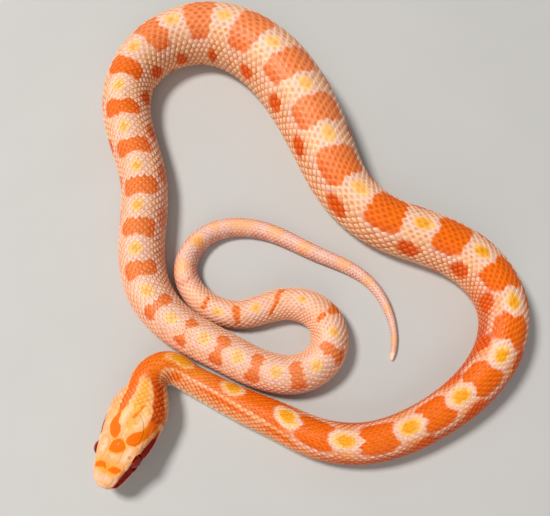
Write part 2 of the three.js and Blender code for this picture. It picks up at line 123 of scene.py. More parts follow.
# The ridge from the snout over the eye, by its place on the half section.
BROW_PLACE = 1.25
BROW_RISE = 0.11 * MM
BROW_WIDTH = 0.3 * MM
BROW_STARTS = (1.2 * MM, 2.6 * MM)
BROW_ENDS = (9.0 * MM, 6.8 * MM)
# Depth of the nostrils and of the mouth's line, and the distances over which they come and go.
NOSTRIL_DEPTH = 0.4 * MM
NOSTRIL_EDGE = (1.15, 0.6)
MOUTH_DEPTH = 0.24 * MM
MOUTH_WIDTH = 0.09 * MM
MOUTH_STARTS = (0.15 * MM, 0.6 * MM)
MOUTH_ENDS = (MOUTH_CORNER + 0.4 * MM, MOUTH_CORNER - 1.2 * MM)

# How far the back's middle line is turned round the body, as a share of the back's half arc.
ROLL = [
    (16, 0), (19, -0.12), (23, -0.34), (33, -0.33), (43, -0.13), (53, 0.03), (63, -0.02),
    (74, -0.04), (84, 0.04), (93, 0.06), (103, 0.02), (115, -0.02), (127, 0), (140, 0.02),
    (151, 0.02), (163, -0.01), (175, -0.04), (187, -0.03), (197, 0.03), (216, 0.08), (225, 0.05),
    (257, 0.04), (270, 0.06), (283, 0.1), (296, 0.02), (306, -0.06), (312, -0.2), (320, -0.15),
    (330, 0.05), (380, 0.02),
]

# Length of one scale's step along the body, and the count of scale rows on each side of the
# back's middle row, at distances from the snout.
SCALE_STEP = MM * np.array([
    (16, 0.85), (24, 1.0), (40, 1.12), (92, 1.2), (112, 1.36), (140, 1.5), (160, 1.72),
    (180, 1.82), (195, 1.6), (207, 1.38), (235, 1.32), (252, 1.14), (271, 0.95), (295, 1.06),
    (318, 1.02), (340, 0.85), (360, 0.7), (379, 0.45),
])
ROWS_A_SIDE = [
    (16, 12), (60, 13), (250, 13), (280, 12), (300, 11), (318, 9), (335, 7), (352, 5),
    (368, 3.5), (380, 2.5),
]

# The skin: how far it lies inside the solids, which reach the scales' outer side. It is less on
# the head's shields, on thin parts and towards the tail's tip.
COAT_DEPTH = 0.2 * MM
HEAD_COAT_SHARE = 0.2
DEEPEST_GIRTH_SHARE = 0.35
COAT_THINS_OVER = 6 * MM
# Bare, pointed end of the tail, and how much of the girth it loses.
TAIL_SPINE = 2.0 * MM
TAIL_SPINE_TAPER = 0.42
SKIN_OVER_FLOOR = 0.02 * MM
SKIN_RING_STEP = 0.5 * MM
HEAD_RING_STEP = 0.09 * MM
# Rings crowd towards the snout's tip by this power.
SNOUT_CROWDING = 1.25
TIP_MARGIN = 0.05 * MM
SKIN_ROUND = 96
# Roughness of the skin's markings at their borders, and where the head's relief fades out.
SKIN_ROUGH = 0.25 * MM
SKIN_GRAIN = 1.3 * MM
RELIEF_FADES = (15 * MM, 13 * MM)

# One scale: places along and across it, and its half width along it.
SCALE_ROWS = np.array([0, 0.18, 0.34, 0.47, 0.6, 0.73, 0.85, 0.94, 1.0])
SCALE_COLUMNS = np.array([-1, -0.55, 0, 0.55, 1])
SCALE_PROFILE = [
    (0, 0.4), (0.12, 0.72), (0.3, 0.96), (0.42, 1.0), (0.55, 0.95), (0.68, 0.82), (0.8, 0.62),
    (0.9, 0.4), (0.96, 0.22), (1.0, 0.08),
]
# The back's scales, on rows counted from the back's middle.
SCALES_START = 10.5 * MM
# Step at which the count of scales along the body is summed.
COUNT_STEP = 0.05 * MM
# No side has more rows than this; towards the belly they lie a little further apart.
MOST_ROWS = 14
FLANK_CROWDING = 0.06
SCALE_LENGTH = 1.5
SCALE_HALF_WIDTH = 0.9
SCALE_JITTER = 0.02
# Scales on rows past this one are wider, by this share.
LOW_ROW = 10
LOW_ROW_WIDER = 0.15
SCALE_THICKNESS = 0.06 * MM
# Narrower scales than this are thinner and lower in proportion.
FULL_HALF_WIDTH = 0.5 * MM
# No scale comes nearer to the midline's ends than this.
SCALE_MARGIN = 0.02 * MM
SCALES_A_PIECE = 1400
# Height of a scale's front over the surface in millimetres, its rise to the hind edge, and how
# much its tip is tucked down.
BACK_LIFT = (-0.25, 0.33, 0.02)
BELLY_LIFT = (-0.12, 0.14, 0)
THROAT_LIFT = (-0.1, 0.16, 0)
TUCK_STARTS = 0.85
# On the thin tail the scales lie flatter, by this share.
TAIL_FLATTER = 0.6
TAIL_FLATTENS = (300 * MM, 360 * MM)
# Scales' lowest parts, under this height, are pressed together over the floor.
FLOOR_EASE = 0.05 * MM
# The swell of a scale on the back, on the flank and on the belly, and its keel.
BACK_DOME = 0.06 * MM
FLANK_DOME = 0.15 * MM
DOME_ROWS = (3, 7)
DOME_HALF_WIDTHS = (0.2 * MM, 0.5 * MM)
BELLY_DOME = 0.02 * MM
KEEL_RISE = 0.035 * MM
KEEL_ROWS = (9, 5)
KEEL_STARTS = (20 * MM, 60 * MM)
# A scale takes its marking from its own middle by this share; its border and its shade vary.
OWN_PLACE = 0.6
SCALE_ROUGH = 0.35
HEART_SHADES = (0.75, 1.1)
SCALE_SHADES = (0.94, 1.04)
# Shares of the back's half arc over which the sides' painted shade at the scales' fronts takes over from
# the back's dark middles.
FLANK_SHARES = (0.24, 0.46)
# Side of a scale's patch on the unwrap.
PATCH = 0.003

# The belly's wide scales.
BELLY_PROFILE = [(0, 1.0), (0.5, 1.0), (0.85, 0.99), (1.0, 0.94)]
BELLY_START = 14.5 * MM
BELLY_SCALE_LENGTH = 1.3
BELLY_OVERLAP = 1.1

# Small scales of the throat, and the part of the chin that its own shields take.
THROAT_START = 2.6 * MM
THROAT_END = 15.0 * MM
THROAT_ROW = 0.62 * MM
THROAT_STEP = 0.95 * MM
THROAT_ROWS = 7
# From here on they reach up to the back's scales, and in front of it to the lower lips.
THROAT_WIDENS = 11.9 * MM
THROAT_LENGTH = 1.45
THROAT_HALF_WIDTH = 0.92
LIP_MARGIN = 0.25 * MM
CHIN_SHIELD_SIDE = 1.25 * MM
CHIN_SHIELD_END = 7.7 * MM


def natural_spline(knots, values, at):
    """Values on a natural cubic spline through the knots."""
    count = len(knots)
    matrix = np.zeros((count, count))
    right = np.zeros((count, values.shape[1]))
    matrix[0, 0] = 1
    matrix[-1, -1] = 1
    gaps = np.diff(knots)
    for i in range(1, count - 1):
        matrix[i, i - 1:i + 2] = (gaps[i - 1], 2 * (gaps[i - 1] + gaps[i]), gaps[i])
        rise_on = (values[i + 1] - values[i]) / gaps[i]
        rise_back = (values[i] - values[i - 1]) / gaps[i - 1]
        right[i] = 6 * (rise_on - rise_back)
    bend = np.linalg.solve(matrix, right)
    i = np.clip(np.searchsorted(knots, at, side="right") - 1, 0, count - 2)
    gap = gaps[i][:, None]
    a = ((knots[i + 1] - at)[:, None]) / gap
    b = 1 - a
    curve = (a ** 3 - a) * bend[i] + (b ** 3 - b) * bend[i + 1]
    return a * values[i] + b * values[i + 1] + curve * gap ** 2 / 6


def smooth_table(rows, at):
    """A smooth curve through a table of (place, value), held level past its ends."""
    rows = np.asarray(rows, float)
    x = rows[:, 0]
    y = rows[:, 1]
    before = np.maximum(np.arange(len(x)) - 1, 0)
    after = np.minimum(np.arange(len(x)) + 1, len(x) - 1)
    slope = (y[after] - y[before]) / (x[after] - x[before])
    at = np.clip(np.asarray(at, float), x[0], x[-1])
    i = np.clip(np.searchsorted(x, at, side="right") - 1, 0, len(x) - 2)
    step = x[i + 1] - x[i]
    t = (at - x[i]) / step
    rise = y[i + 1] - y[i]
    bow = (slope[i] * step - rise) * (1 - t) - (slope[i + 1] * step - rise) * t
    return y[i] + t * rise + t * (1 - t) * bow


def smooth_step(start, end, value):
    t = np.clip((value - start) / (end - start), 0, 1)
    return t * t * (3 - 2 * t)


def bump(distance):
    """One at no distance, falling smoothly to nothing at a distance of about 2."""
    return np.exp(-distance ** 2)


class Body:
    """The snake's surface, by distance along the midline and arc round the section."""

    WALK_STEPS = 4000
    RING_STEP = 0.25 * MM
    ARC_STEPS = 192
    FINE_PLACES = 281
    DIRECTION_STEP = 0.05 * MM
    NORMAL_STEP = 0.1 * MM

    def __init__(self):
        chord = np.r_[0, np.cumsum(np.hypot(*np.diff(ROUTE, axis=0).T))]
        walk = np.linspace(0, chord[-1], self.WALK_STEPS + 1)
        self.walk = natural_spline(chord, ROUTE, walk)
        steps = np.hypot(*np.diff(self.walk, axis=0).T)
        self.walk_at = np.r_[0, np.cumsum(steps)]
        self.length = self.walk_at[-1]
        self.ring_at = np.arange(0, self.length + self.RING_STEP, self.RING_STEP)
        self.places = np.linspace(0, BELLY, self.FINE_PLACES)
        self.outlines = self.outline(self.half_sections(self.ring_at), self.places)
        steps = np.linalg.norm(np.diff(self.outlines, axis=1), axis=2)
        self.arcs = np.concatenate([np.zeros((len(steps), 1)), np.cumsum(steps, axis=1)], axis=1)
        self.half_arc = self.arcs[:, -1]
        shares = np.linspace(0, 1, self.ARC_STEPS + 1)
        self.even = np.empty((len(self.outlines), self.ARC_STEPS + 1, 2))
        for i, arc in enumerate(self.arcs):
            for axis in (0, 1):
                self.even[i, :, axis] = np.interp(shares * arc[-1], arc, self.outlines[i, :, axis])

    def half_sections(self, at):
        half_width = smooth_table(GIRTH, at)[:, None] / 2
        share = smooth_step(*HEAD_BLEND, at)[:, None]
        sections = np.empty((len(at), len(BODY_SECTION), 2))
        places = MM * np.array([row[0] for row in HEAD_SECTIONS])
        for k in range(len(BODY_SECTION)):
            for axis in (0, 1):
                values = MM * np.array([row[1][k][axis] for row in HEAD_SECTIONS])
                head = smooth_table(np.c_[places, values], at)[:, None]
                trunk = BODY_SECTION[k, axis] * half_width
                sections[:, k, axis] = (head + share * (trunk - head))[:, 0]
        return sections

    def outline(self, sections, places):
        """Points of the half sections at places from 0, the crown, to 7, the belly's middle."""
        last = sections.shape[1] - 1
        low = sections[:, [1]] * (-1, 1)
        high = sections[:, [last - 1]] * (-1, 1)
        padded = np.concatenate([low, sections, high], axis=1)
        i = np.minimum(np.floor(places).astype(int), last - 1)
        f = (places - i)[None, :, None]
        a, b, c, d = (padded[:, i + k] for k in range(4))
        points = 0.5 * (2 * b + (c - a) * f + (2 * a - 5 * b + 4 * c - d) * f ** 2
                        + (3 * b - a - 3 * c + d) * f ** 3)
        points[..., 1] = np.maximum(points[..., 1], 0)
        return points

    def midline(self, at):
        inside = np.clip(at, 0, self.length)
        return np.stack([np.interp(inside, self.walk_at, self.walk[:, n]) for n in (0, 1)], -1)

    def look_up(self, table, at, column):
        """Values from a table with a row for each ring, between its rows and its columns."""
        row = np.clip(at / self.RING_STEP, 0, len(table) - 1.001)
        i = row.astype(int)
        f = (row - i)[..., None]
        column = np.broadcast_to(column, i.shape)
        j = np.clip(column.astype(int), 0, table.shape[1] - 2)
        g = (column - j)[..., None]
        near = table[i, j] * (1 - g) + table[i, j + 1] * g
        far = table[i + 1, j] * (1 - g) + table[i + 1, j + 1] * g
        return near * (1 - f) + far * f

    def arc_at_place(self, at, place):
        """Arc from the crown to a place on the half section."""
        return self.look_up(self.arcs[..., None], at, place / BELLY * (self.FINE_PLACES - 1))[..., 0]

    def back_arc(self, at):
        """Arc from the crown to the edge of the belly scales."""
        return self.arc_at_place(at, BELLY_EDGE_PLACE)

    def half_arc_at(self, at):
        return np.interp(at, self.ring_at, self.half_arc)

    def flat_point(self, at, arc):
        """(side, up) on the section, at a signed arc from the crown that may pass the belly."""
        half = self.half_arc_at(at)
        arc = (arc + half) % (2 * half) - half
        point = self.look_up(self.even, at, np.clip(np.abs(arc) / half, 0, 1) * self.ARC_STEPS)
        return point[..., 0] * np.where(arc < 0, -1, 1), point[..., 1]

    def point(self, at, arc):
        inside = np.clip(at, self.DIRECTION_STEP, self.length - self.DIRECTION_STEP)
        middle = self.midline(inside)
        along = self.midline(inside + self.DIRECTION_STEP) - self.midline(inside - self.DIRECTION_STEP)
        along /= np.linalg.norm(along, axis=-1, keepdims=True)
        left = np.stack([along[..., 1], -along[..., 0]], -1)
        side, up = self.flat_point(np.clip(at, 0, self.length), arc)
        flat = middle + FRAME_SHIFT + along * (at - inside)[..., None] + left * side[..., None]
        lift = np.maximum(smooth_table(LIFT, at), 0)
        return np.concatenate([flat, (up + lift)[..., None]], -1)

    def place(self, at, arc, height):
        """A point over the surface and the outward direction there."""
        step = self.NORMAL_STEP
        first = np.maximum(at - step, 0)
        on = self.point(first + 2 * step, arc) - self.point(first, arc)
        round_ = self.point(at, arc + step) - self.point(at, arc - step)
        out = np.cross(round_, on)
        out = out / np.maximum(np.linalg.norm(out, axis=-1, keepdims=True), 1e-15)
        return self.point(at, arc) + out * height[..., None], out


body = Body()
rng = np.random.default_rng(7)


def back_turn(at):
    """Arc by which the back's middle line is turned round the body."""
    return smooth_table(ROLL, at / MM) * body.back_arc(at)


def linear(colour):
    """A colour as 0 to 255 on the screen, as the light values that a shader takes."""
    value = np.asarray(colour, float) / 255
    return np.where(value <= 0.04045, value / 12.92, ((value + 0.055) / 1.055) ** 2.4)


def tint(edge, heart):
    """A marking's colour at a scale's edge and in its darker heart."""
    return np.stack([linear(edge), linear(heart)])


# Colours of the body's markings.
ORANGE = tint((246, 118, 12), (200, 62, 0))
BACK_ORANGE = tint((246, 136, 58), (196, 64, 2))
AMBER = tint((250, 174, 30), (222, 120, 2))
PALE_AMBER = tint((250, 178, 84), (236, 142, 40))
YELLOW = tint((253, 202, 138), (248, 180, 96))
RING = tint((253, 208, 180), (206, 138, 134))
CREAM = tint((253, 204, 160), (204, 112, 58))
FRONT_CREAM = tint((248, 174, 114), (212, 88, 26))
BACK_CREAM = tint((252, 200, 164), (216, 140, 104))
BLOTCH = tint((236, 102, 26), (190, 56, 0))
# The lower sides' red: partly their own colour, partly painted shade.
FLANK_RED_AND_SHADE = tint((214, 78, 34), (146, 22, 6))
BELLY_PALE = tint((248, 218, 186), (244, 204, 168))
TAIL_PEACH = tint((252, 190, 140), (236, 154, 98))
TAIL_PINK = tint((252, 206, 184), (186, 118, 112))

# The yellow spots along the back: distance from the snout, half length and half width.
SPOTS = np.array([
    (23.6, 1.9, 1.5), (33.3, 1.8, 1.5), (43.5, 1.8, 1.3), (53.4, 1.85, 1.2), (64.0, 1.9, 1.3),
    (73.8, 1.8, 1.3), (83.8, 1.7, 1.25), (93.3, 1.6, 1.25), (103.2, 1.65, 1.3), (114.4, 1.9, 1.4),
    (127.4, 1.9, 1.4), (139.9, 1.8, 1.4), (151.3, 1.8, 1.4), (163.0, 1.8, 1.4), (175.6, 1.8, 1.4),
    (187.2, 1.5, 1.5), (196.8, 1.5, 1.4), (206.3, 1.45, 1.3), (215.8, 1.35, 1.2),
    (225.0, 1.4, 1.2), (233.6, 1.35, 1.2), (242.0, 1.4, 1.3), (250.2, 1.25, 1.2),
    (256.8, 1.1, 1.1), (263.3, 1.0, 1.1), (269.8, 1.0, 1.1), (276.5, 1.0, 1.1),
    (283.0, 0.95, 1.1), (289.3, 0.95, 1.0), (297.6, 0.8, 0.8), (305.8, 0.95, 0.9), (312.3, 0.9, 0.8),
])
# Size and strength of a spot's deep core, at distances from the snout.
CORE_SIZE = [(40, 0.86), (110, 0.8), (127, 0.66), (200, 0.6), (300, 0.66)]
CORE_SHOW = [
    (40, 1), (114, 0.95), (127, 0.7), (163, 0.55), (200, 0.75), (245, 0.85), (258, 0.45), (285, 0.7),
]
# Half lengths of the orange saddles at distances from the snout, their waists, and how far their
# middle lies off the line of the spots, as a share of the back's half arc.
SADDLE_HALF = [
    (40, 3.5), (58, 3.35), (80, 3.0), (98, 2.9), (109, 3.2), (121, 3.5), (133, 3.7), (145, 3.5),
    (157, 3.4), (168, 3.5), (181, 3.1), (193, 2.8), (202, 2.4), (211, 2.25), (229, 2.1), (246, 1.85),
    (254, 1.45), (260, 1.25), (266, 1.5), (273, 1.35), (286, 1.15),
]
SADDLE_WAIST = [
    (190, 0.08), (211, 0.36), (220, 0.28), (229, 0.14), (238, 0.12), (246, 0.3), (253, 0.5), (260, 0.95),
    (266, 0.68), (273, 0.5), (280, 0.38), (287, 0.38),
]
SADDLE_OFF = [(120, 0), (200, -0.03), (246, -0.03), (254, 0.03), (262, 0.07), (286, 0.08)]
# Dashes of orange low on the sides of the neck: distance, share of the half arc, half sizes.
NECK_DASHES = [(24.2, 0.62, 1.0, 0.9), (33.0, 0.56, 5.5, 0.36), (43.3, 0.56, 3.4, 0.5)]
# Thin marks before the vent, in place of the saddles: distance from the snout, share of the half
# arc, half width in millimetres.
REAR_MARKS = [
    [(292.4, -0.26, 0.7), (292.7, -0.12, 0.5)], [(292.6, 0.12, 0.5), (292.9, 0.5, 0.9)],
    [(297.0, -0.24, 0.7), (297.3, -0.2, 0.5)],
    [(303.6, -0.34, 0.45), (302.2, -0.05, 0.45), (301.0, 0.32, 0.6)],
    [(309.0, -0.3, 0.4), (309.3, 0.22, 0.75)], [(314.6, -0.1, 0.45), (314.8, 0.25, 0.4)],
    [(320.6, -0.35, 0.4), (320.1, 0.05, 0.6), (320.4, 0.35, 0.4)],
]
# Peach patches of the tail: distance from the snout, half length and share of the half arc.
TAIL_PATCHES = [
    (323.0, 1.5, -0.1), (328.9, 1.3, 0.0), (333.4, 0.8, -0.3), (338.4, 2.4, -0.1), (345.0, 1.3, -0.15),
    (351.2, 1.3, 0.1), (358.8, 1.3, -0.1), (364.4, 0.9, 0.15), (370.6, 0.9, -0.1), (376.5, 1.2, 0.0),
]

# Where the markings change: distances from the snout between which they come or go.
FRONT_GOES = (108, 84)
# Where the saddles' painted highlight in the body's middle comes and goes.
MIDDLE_SHEEN_COMES = (118, 145)
MIDDLE_SHEEN_GOES = (205, 190)
REAR_COMES = (198, 240)
TAIL_START = (317, 323)
NECK_GOES = (47, 42)
RED_FLANKS_COME = (46, 54)
SADDLES_GO = (289.5, 288.5)
WAISTS_PALE = (240, 252)
BLOTCHES_COME = (56, 66)
BLOTCHES_GO = (262, 205)
RINGS_COME = (22, 40)
YELLOW_COMES = (10, 30)
DEEP_CORES_GO = (132, 112)

# A saddle's half width as a share of the half arc, how square it is, the half width of its waist,
# and the least length there.
SADDLE_SIDE = 0.38
SADDLE_SQUARE = 3.4
WAIST_SIDE = 0.19
LEAST_WAIST = 0.04
# Width of the spots' pale rings in millimetres, at distances from the snout.
RING_WIDTH = [(33, 0.45), (53, 0.9), (200, 1.2), (260, 1.0)]
# Where the blotches lie on the sides, as shares of the half arc, and how much later they start
# on the right than on the left.
BLOTCH_SIDE = [(60, 0.62), (80, 0.5), (103, 0.52), (150, 0.55), (187, 0.68), (215, 0.62)]
BLOTCH_HALF_LENGTH = 2.1
BLOTCH_HALF_WIDTH = 1.6
BLOTCH_LATER = 12


def mix(under, over, share):
    """One colour laid over another, by a share from 0 to 1."""
    share = np.clip(share, 0, 1)[..., None]
    return under * (1 - share) + over * share


def grain(at, arc, size, seed):
    """Smooth noise over the skin, from -1 to 1, with patches of the given size."""
    turn = np.random.default_rng(seed).uniform(0, 2 * math.pi, 12).reshape(4, 3)
    value = np.zeros(np.broadcast(at, arc).shape)
    for k, (a, b, c) in enumerate(turn):
        wave = 2 * math.pi / size * (0.7 + 0.3 * k)
        value += np.sin(wave * (at * math.cos(a) + arc * math.sin(a)) + b)
        value += np.sin(wave * (at * math.sin(a) - arc * math.cos(a)) + c)
    return value / 5


class Paint:
    """Layers of colour, each with a scale's edge colour and its heart's colour."""

    def __init__(self, ground, heart):
        self.heart = heart
        self.colour = self.pick(ground)

    def pick(self, colour):
        return colour[0] + (colour[1] - colour[0]) * self.heart[..., None]

    def add(self, colour, share):
        self.colour = mix(self.colour, self.pick(colour), share)


class Place:
    """Where points lie on the body, in millimetres and in shares of the back's half arc."""

    def __init__(self, at, arc, edge):
        self.along = at / MM
        self.across = arc / MM
        self.rough = edge / MM
        self.reach = body.back_arc(at) / MM
        self.turned = self.across / self.reach
        self.share = np.abs(self.turned)
        centres = SPOTS[:, 0]
        self.spot = SPOTS[np.abs(self.along[..., None] - centres).argmin(-1)]
        between = (centres[:-1] + centres[1:]) / 2
        self.saddle = between[np.abs(self.along[..., None] - between).argmin(-1)]

    def past(self, limits):
        """Nothing before the first of two distances from the snout, one past the second."""
        return smooth_step(*limits, self.along)


def paint_ground(here, paint, patches):
    """Cream, warmer in front, where the lower sides are red with pale nets, partly their own colour and
    partly painted shade.
    """
    front = here.past(FRONT_GOES)
    paint.add(FRONT_CREAM, 0.9 * front * smooth_step(1.0, 0.75, here.share))
    paint.add(BACK_CREAM, here.past(REAR_COMES))
    paint.add(BLOTCH, 0.15 * (0.5 + 0.5 * patches) * smooth_step(0.3, 0.5, here.share))
    flank = smooth_step(0.4, 0.56, here.share) * smooth_step(0.98, 0.8, here.share)
    # The lower sides' red with pale nets is partly their own colour and partly painted shade.
    paint.add(FLANK_RED_AND_SHADE, 0.7 * front * here.past(RED_FLANKS_COME) * flank)


def paint_saddles(here, paint):
    """Saddles between the spots, waisted and at last split behind."""
    off_line = here.turned - smooth_table(SADDLE_OFF, here.along)
    waist = smooth_table(SADDLE_WAIST, here.along)
    half = smooth_table(SADDLE_HALF, here.along)
    half = half * np.maximum(1 - waist * bump(off_line / WAIST_SIDE), LEAST_WAIST)
    slant = 1.9 * bump((here.along - 210) / 14) * here.turned
    over_length = np.abs(here.along - here.saddle + slant + 0.8 * here.rough) / half
    over_side = np.abs(off_line) / SADDLE_SIDE
    oval = (over_length ** SADDLE_SQUARE + over_side ** SADDLE_SQUARE) ** (1 / SADDLE_SQUARE)
    oval = oval + 0.06 * here.rough
    shown = here.past(SADDLES_GO)
    paint.add(RING, 0.55 * smooth_step(1.45, 1.1, oval) * shown)
    faded = waist * bump(off_line / 0.15) * here.past(WAISTS_PALE)
    inside = smooth_step(1.06, 0.93, oval) * shown * (1 - 0.6 * faded)
    # In the body's middle the saddles are paled towards BACK_ORANGE and BACK_CREAM as painted highlight;
    # behind, the rear saddles take the same paler colours.
    middle = here.past(MIDDLE_SHEEN_COMES) * here.past(MIDDLE_SHEEN_GOES)
    rear = here.past(REAR_COMES)
    paint.add(ORANGE, inside)
    paint.add(BACK_ORANGE, inside * np.maximum(0.75 * middle, 0.8 * rear))
    paint.add(BACK_CREAM, inside * np.maximum(0.16 * middle, 0.1 * rear))
    paint.add(BLOTCH, inside * 0.4 * smooth_step(0.2, 0.36, here.share))


def paint_rear_marks(here, paint):
    """The thin marks before the vent."""
    for mark in REAR_MARKS:
        far = np.full(here.along.shape, 1e9)
        for (x0, y0, r0), (x1, y1, r1) in zip(mark, mark[1:]):
            t = np.clip((here.turned - y0) / (y1 - y0), 0, 1)
            off_end = np.abs(here.turned - y0 - t * (y1 - y0)) / 0.09
            off_line = np.abs(here.along - x0 - t * (x1 - x0)) / (r0 + t * (r1 - r0))
            far = np.minimum(far, np.hypot(off_line, off_end))
        paint.add(BACK_ORANGE, smooth_step(1.15, 0.75, far))


def paint_neck(here, paint):
    """The neck's orange back over a cream side with orange dashes."""
    neck = here.past(NECK_GOES)
    back = neck * smooth_step(0.4, 0.3, here.share)
    paint.add(ORANGE, neck * smooth_step(0.44, 0.38, here.share + 0.03 * here.rough))
    paint.add(AMBER, 0.35 * back * bump((here.along - 26) / 5))
    paint.add(FRONT_CREAM, 0.15 * back * bump((here.along - 28.5) / 4))
    paint.add(YELLOW, 0.3 * neck * bump((here.share - 0.46 + 0.05 * here.rough) / 0.06))
    for along, share, half_length, half_width in NECK_DASHES:
        dash = np.hypot((here.along - along) / half_length, (here.share - share) * here.reach / half_width)
        paint.add(ORANGE, 0.9 * smooth_step(1.15, 0.75, dash + 0.2 * here.rough))


def paint_blotches(here, paint):
    """Blotches on the sides, level with the spots, and small ones lower down between them."""
    off_side = here.share - np.interp(here.along, *zip(*BLOTCH_SIDE))
    off = here.along - here.spot[..., 0] - 1.0 + 2.4 * off_side + here.rough
    far = np.hypot(off / BLOTCH_HALF_LENGTH, off_side * here.reach / BLOTCH_HALF_WIDTH)
    right_later = BLOTCH_LATER * (here.turned <= 0)
    shown = smooth_step(*BLOTCHES_COME, here.along - right_later) * here.past(BLOTCHES_GO)
    paint.add(BLOTCH, smooth_step(1.15, 0.8, far) * shown)
    low = np.hypot((here.along - here.saddle) / 1.4, (here.share - 0.9) * here.reach / 0.8)
    paint.add(BLOTCH, 0.6 * smooth_step(1.1, 0.7, low) * shown)


def paint_spots(here, paint, shown):
    """The yellow spots with their pale rings and deeper cores."""
    centre, half_length, half_width = np.moveaxis(here.spot, -1, 0)
    wide = np.hypot((here.along - centre + 0.5 * here.rough) / half_length, here.across / half_width)
    ring = (wide - 1) * half_length - np.interp(here.along, *zip(*RING_WIDTH)) + 0.25 * here.rough
    paint.add(RING, smooth_step(0.25, -0.15, ring) * here.past(RINGS_COME) * shown)
    paint.add(YELLOW, smooth_step(1.2, 0.95, wide) * here.past(YELLOW_COMES) * shown)
    core = wide / smooth_table(CORE_SIZE, here.along) + 0.25 * here.rough
    core_shown = smooth_step(1.15, 0.6, core) * smooth_table(CORE_SHOW, here.along) * shown
    deep = here.past(DEEP_CORES_GO)
    paint.add(AMBER, core_shown * deep)
    paint.add(PALE_AMBER, core_shown * (1 - deep))


def paint_tail(here, paint, shown):
    """The pink tail with its peach patches and orange lower sides."""
    paint.add(TAIL_PINK, shown)
    for place, half, turn in TAIL_PATCHES:
        far = np.hypot((here.along - place) / half, (here.turned - turn) / 0.5)
        paint.add(TAIL_PEACH, 0.85 * shown * smooth_step(1.7, 0.5, far))
    mottle = 0.6 + 0.5 * np.sin(here.along * 1.9) * np.sin(here.along * 0.63 + 1)
    low = smooth_step(0.3, 0.52, here.share) * smooth_step(376, 345, here.along)
    paint.add(BACK_ORANGE, 0.55 * shown * low * mottle)
    core = np.hypot(here.along - 329.0, (here.turned - 0.1) / 0.25)
    paint.add(PALE_AMBER, 0.8 * smooth_step(1.2, 0.6, core))


def marking(at, arc, edge, heart):
    """Colour of the body at a distance along it and an arc from the back's middle line.

    edge is noise in metres that breaks up the borders; heart is 1 in the middle of a scale.
    """
    here = Place(at, arc, edge)
    tail = here.past(TAIL_START)
    paint = Paint(CREAM, heart)
    paint_ground(here, paint, grain(at, arc, 5 * MM, 11))
    paint_saddles(here, paint)
    paint_rear_marks(here, paint)
    paint_neck(here, paint)
    paint_blotches(here, paint)
    paint_spots(here, paint, 1 - tail)
    paint_tail(here, paint, tail)
    paint.add(BELLY_PALE, smooth_step(0.95, 1.03, here.share))
    return paint.colour


# Colours of the head.
HEAD_PEACH = tint((246, 176, 122), (242, 164, 106))
SNOUT_PINK = tint((250, 190, 144), (247, 178, 128))
HEAD_CREAM = tint((249, 188, 126), (245, 174, 106))
HEAD_ORANGE = tint((243, 118, 2), (236, 102, 0))
# The eye stripe's dark red, deepened as painted shade.
EYE_STRIPE_AND_SHADE = tint((152, 20, 6), (128, 12, 4))
SPEAR_FRONT = tint((252, 190, 118), (250, 176, 96))
SPEAR_BACK = tint((250, 174, 60), (240, 148, 24))
HEAD_ROSE = tint((252, 196, 166), (248, 184, 150))
HEAD_AMBER = tint((248, 172, 92), (244, 158, 76))
HEAD_CLOUD = tint((252, 212, 176), (250, 198, 154))
LIP_PINK = tint((248, 186, 160), (240, 164, 136))
MOUTH_LINE = tint((150, 66, 48), (150, 66, 48))
NAPE_DARK = tint((238, 100, 10), (168, 44, 4))
GREY_DOT = linear((176, 130, 128))

# How far from the snout the head's marks end, and where they fade into the neck's.
HEAD_MARKS_END = 19.2 * MM
HEAD_MARKS_FADE = (18.6 * MM, 16.6 * MM)

# Marks on the head seen from above, in millimetres: outlines of (distance from the snout,
# distance to the animal's left).
FRONTAL_SPOT = [
    (5.35, -1.1), (6.6, -1.15), (7.2, -0.6), (7.4, 0), (7.1, 0.65), (6.45, 1.2), (5.8, 1.05),
    (5.3, 0.35), (5.15, -0.6),
]
RIGHT_BAR = [
    (7.1, -1.0), (7.3, -1.7), (7.9, -2.2), (8.8, -2.65), (9.8, -2.6), (11, -2.35), (12.2, -2.65),
    (13.6, -2.6), (15, -2.4), (16.5, -2.6), (18, -2.9), (21, -3.2), (21, -0.5), (18.6, -0.5),
    (17, -0.95), (15.6, -0.98), (13.6, -1.15), (12.6, -1.5), (11.6, -1.75), (10.4, -1.65),
    (9.7, -1.55), (9.3, -0.95), (8.5, -0.55), (7.7, -0.6),
]
LEFT_BAR = [
    (6.9, 1.3), (7.2, 0.85), (8, 0.9), (8.7, 1.25), (9.2, 2), (9.7, 2.6), (11, 2.9), (12.2, 2.95),
    (13.2, 2.6), (14.5, 2.2), (16, 1.6), (17, 1.15), (18, 0.7), (21, 0.3), (21, 2.4), (19, 2.4),
    (17, 2.7), (15.4, 3.3), (14, 4.0), (12.4, 4.5), (11, 4.3), (10, 3.9), (9, 3.6), (8, 3.1),
    (7.1, 2.6),
]
SPEAR = [
    (7.75, -0.15), (8.5, -0.5), (9.2, -0.75), (9.55, -1.5), (10.4, -1.6), (11.6, -1.65), (12.6, -1.25),
    (13.6, -1.0), (15.6, -0.95), (17, -0.8), (17.7, -0.3), (17.75, 0.3), (17.1, 0.95), (16, 1.5),
    (14.5, 2.15), (13.2, 2.55), (12.2, 2.9), (11, 2.8), (9.8, 2.5), (9.3, 1.9), (8.8, 1.1), (8.2, 0.3),
]
SNOUT_BAND = [
    (2.0, -0.6), (2.3, -1.6), (2.9, -2.25), (3.6, -1.9), (3.5, -0.6), (3.45, 0.6), (3.5, 1.8),
    (2.9, 2.25), (2.3, 1.6), (2.05, 0.6),
]
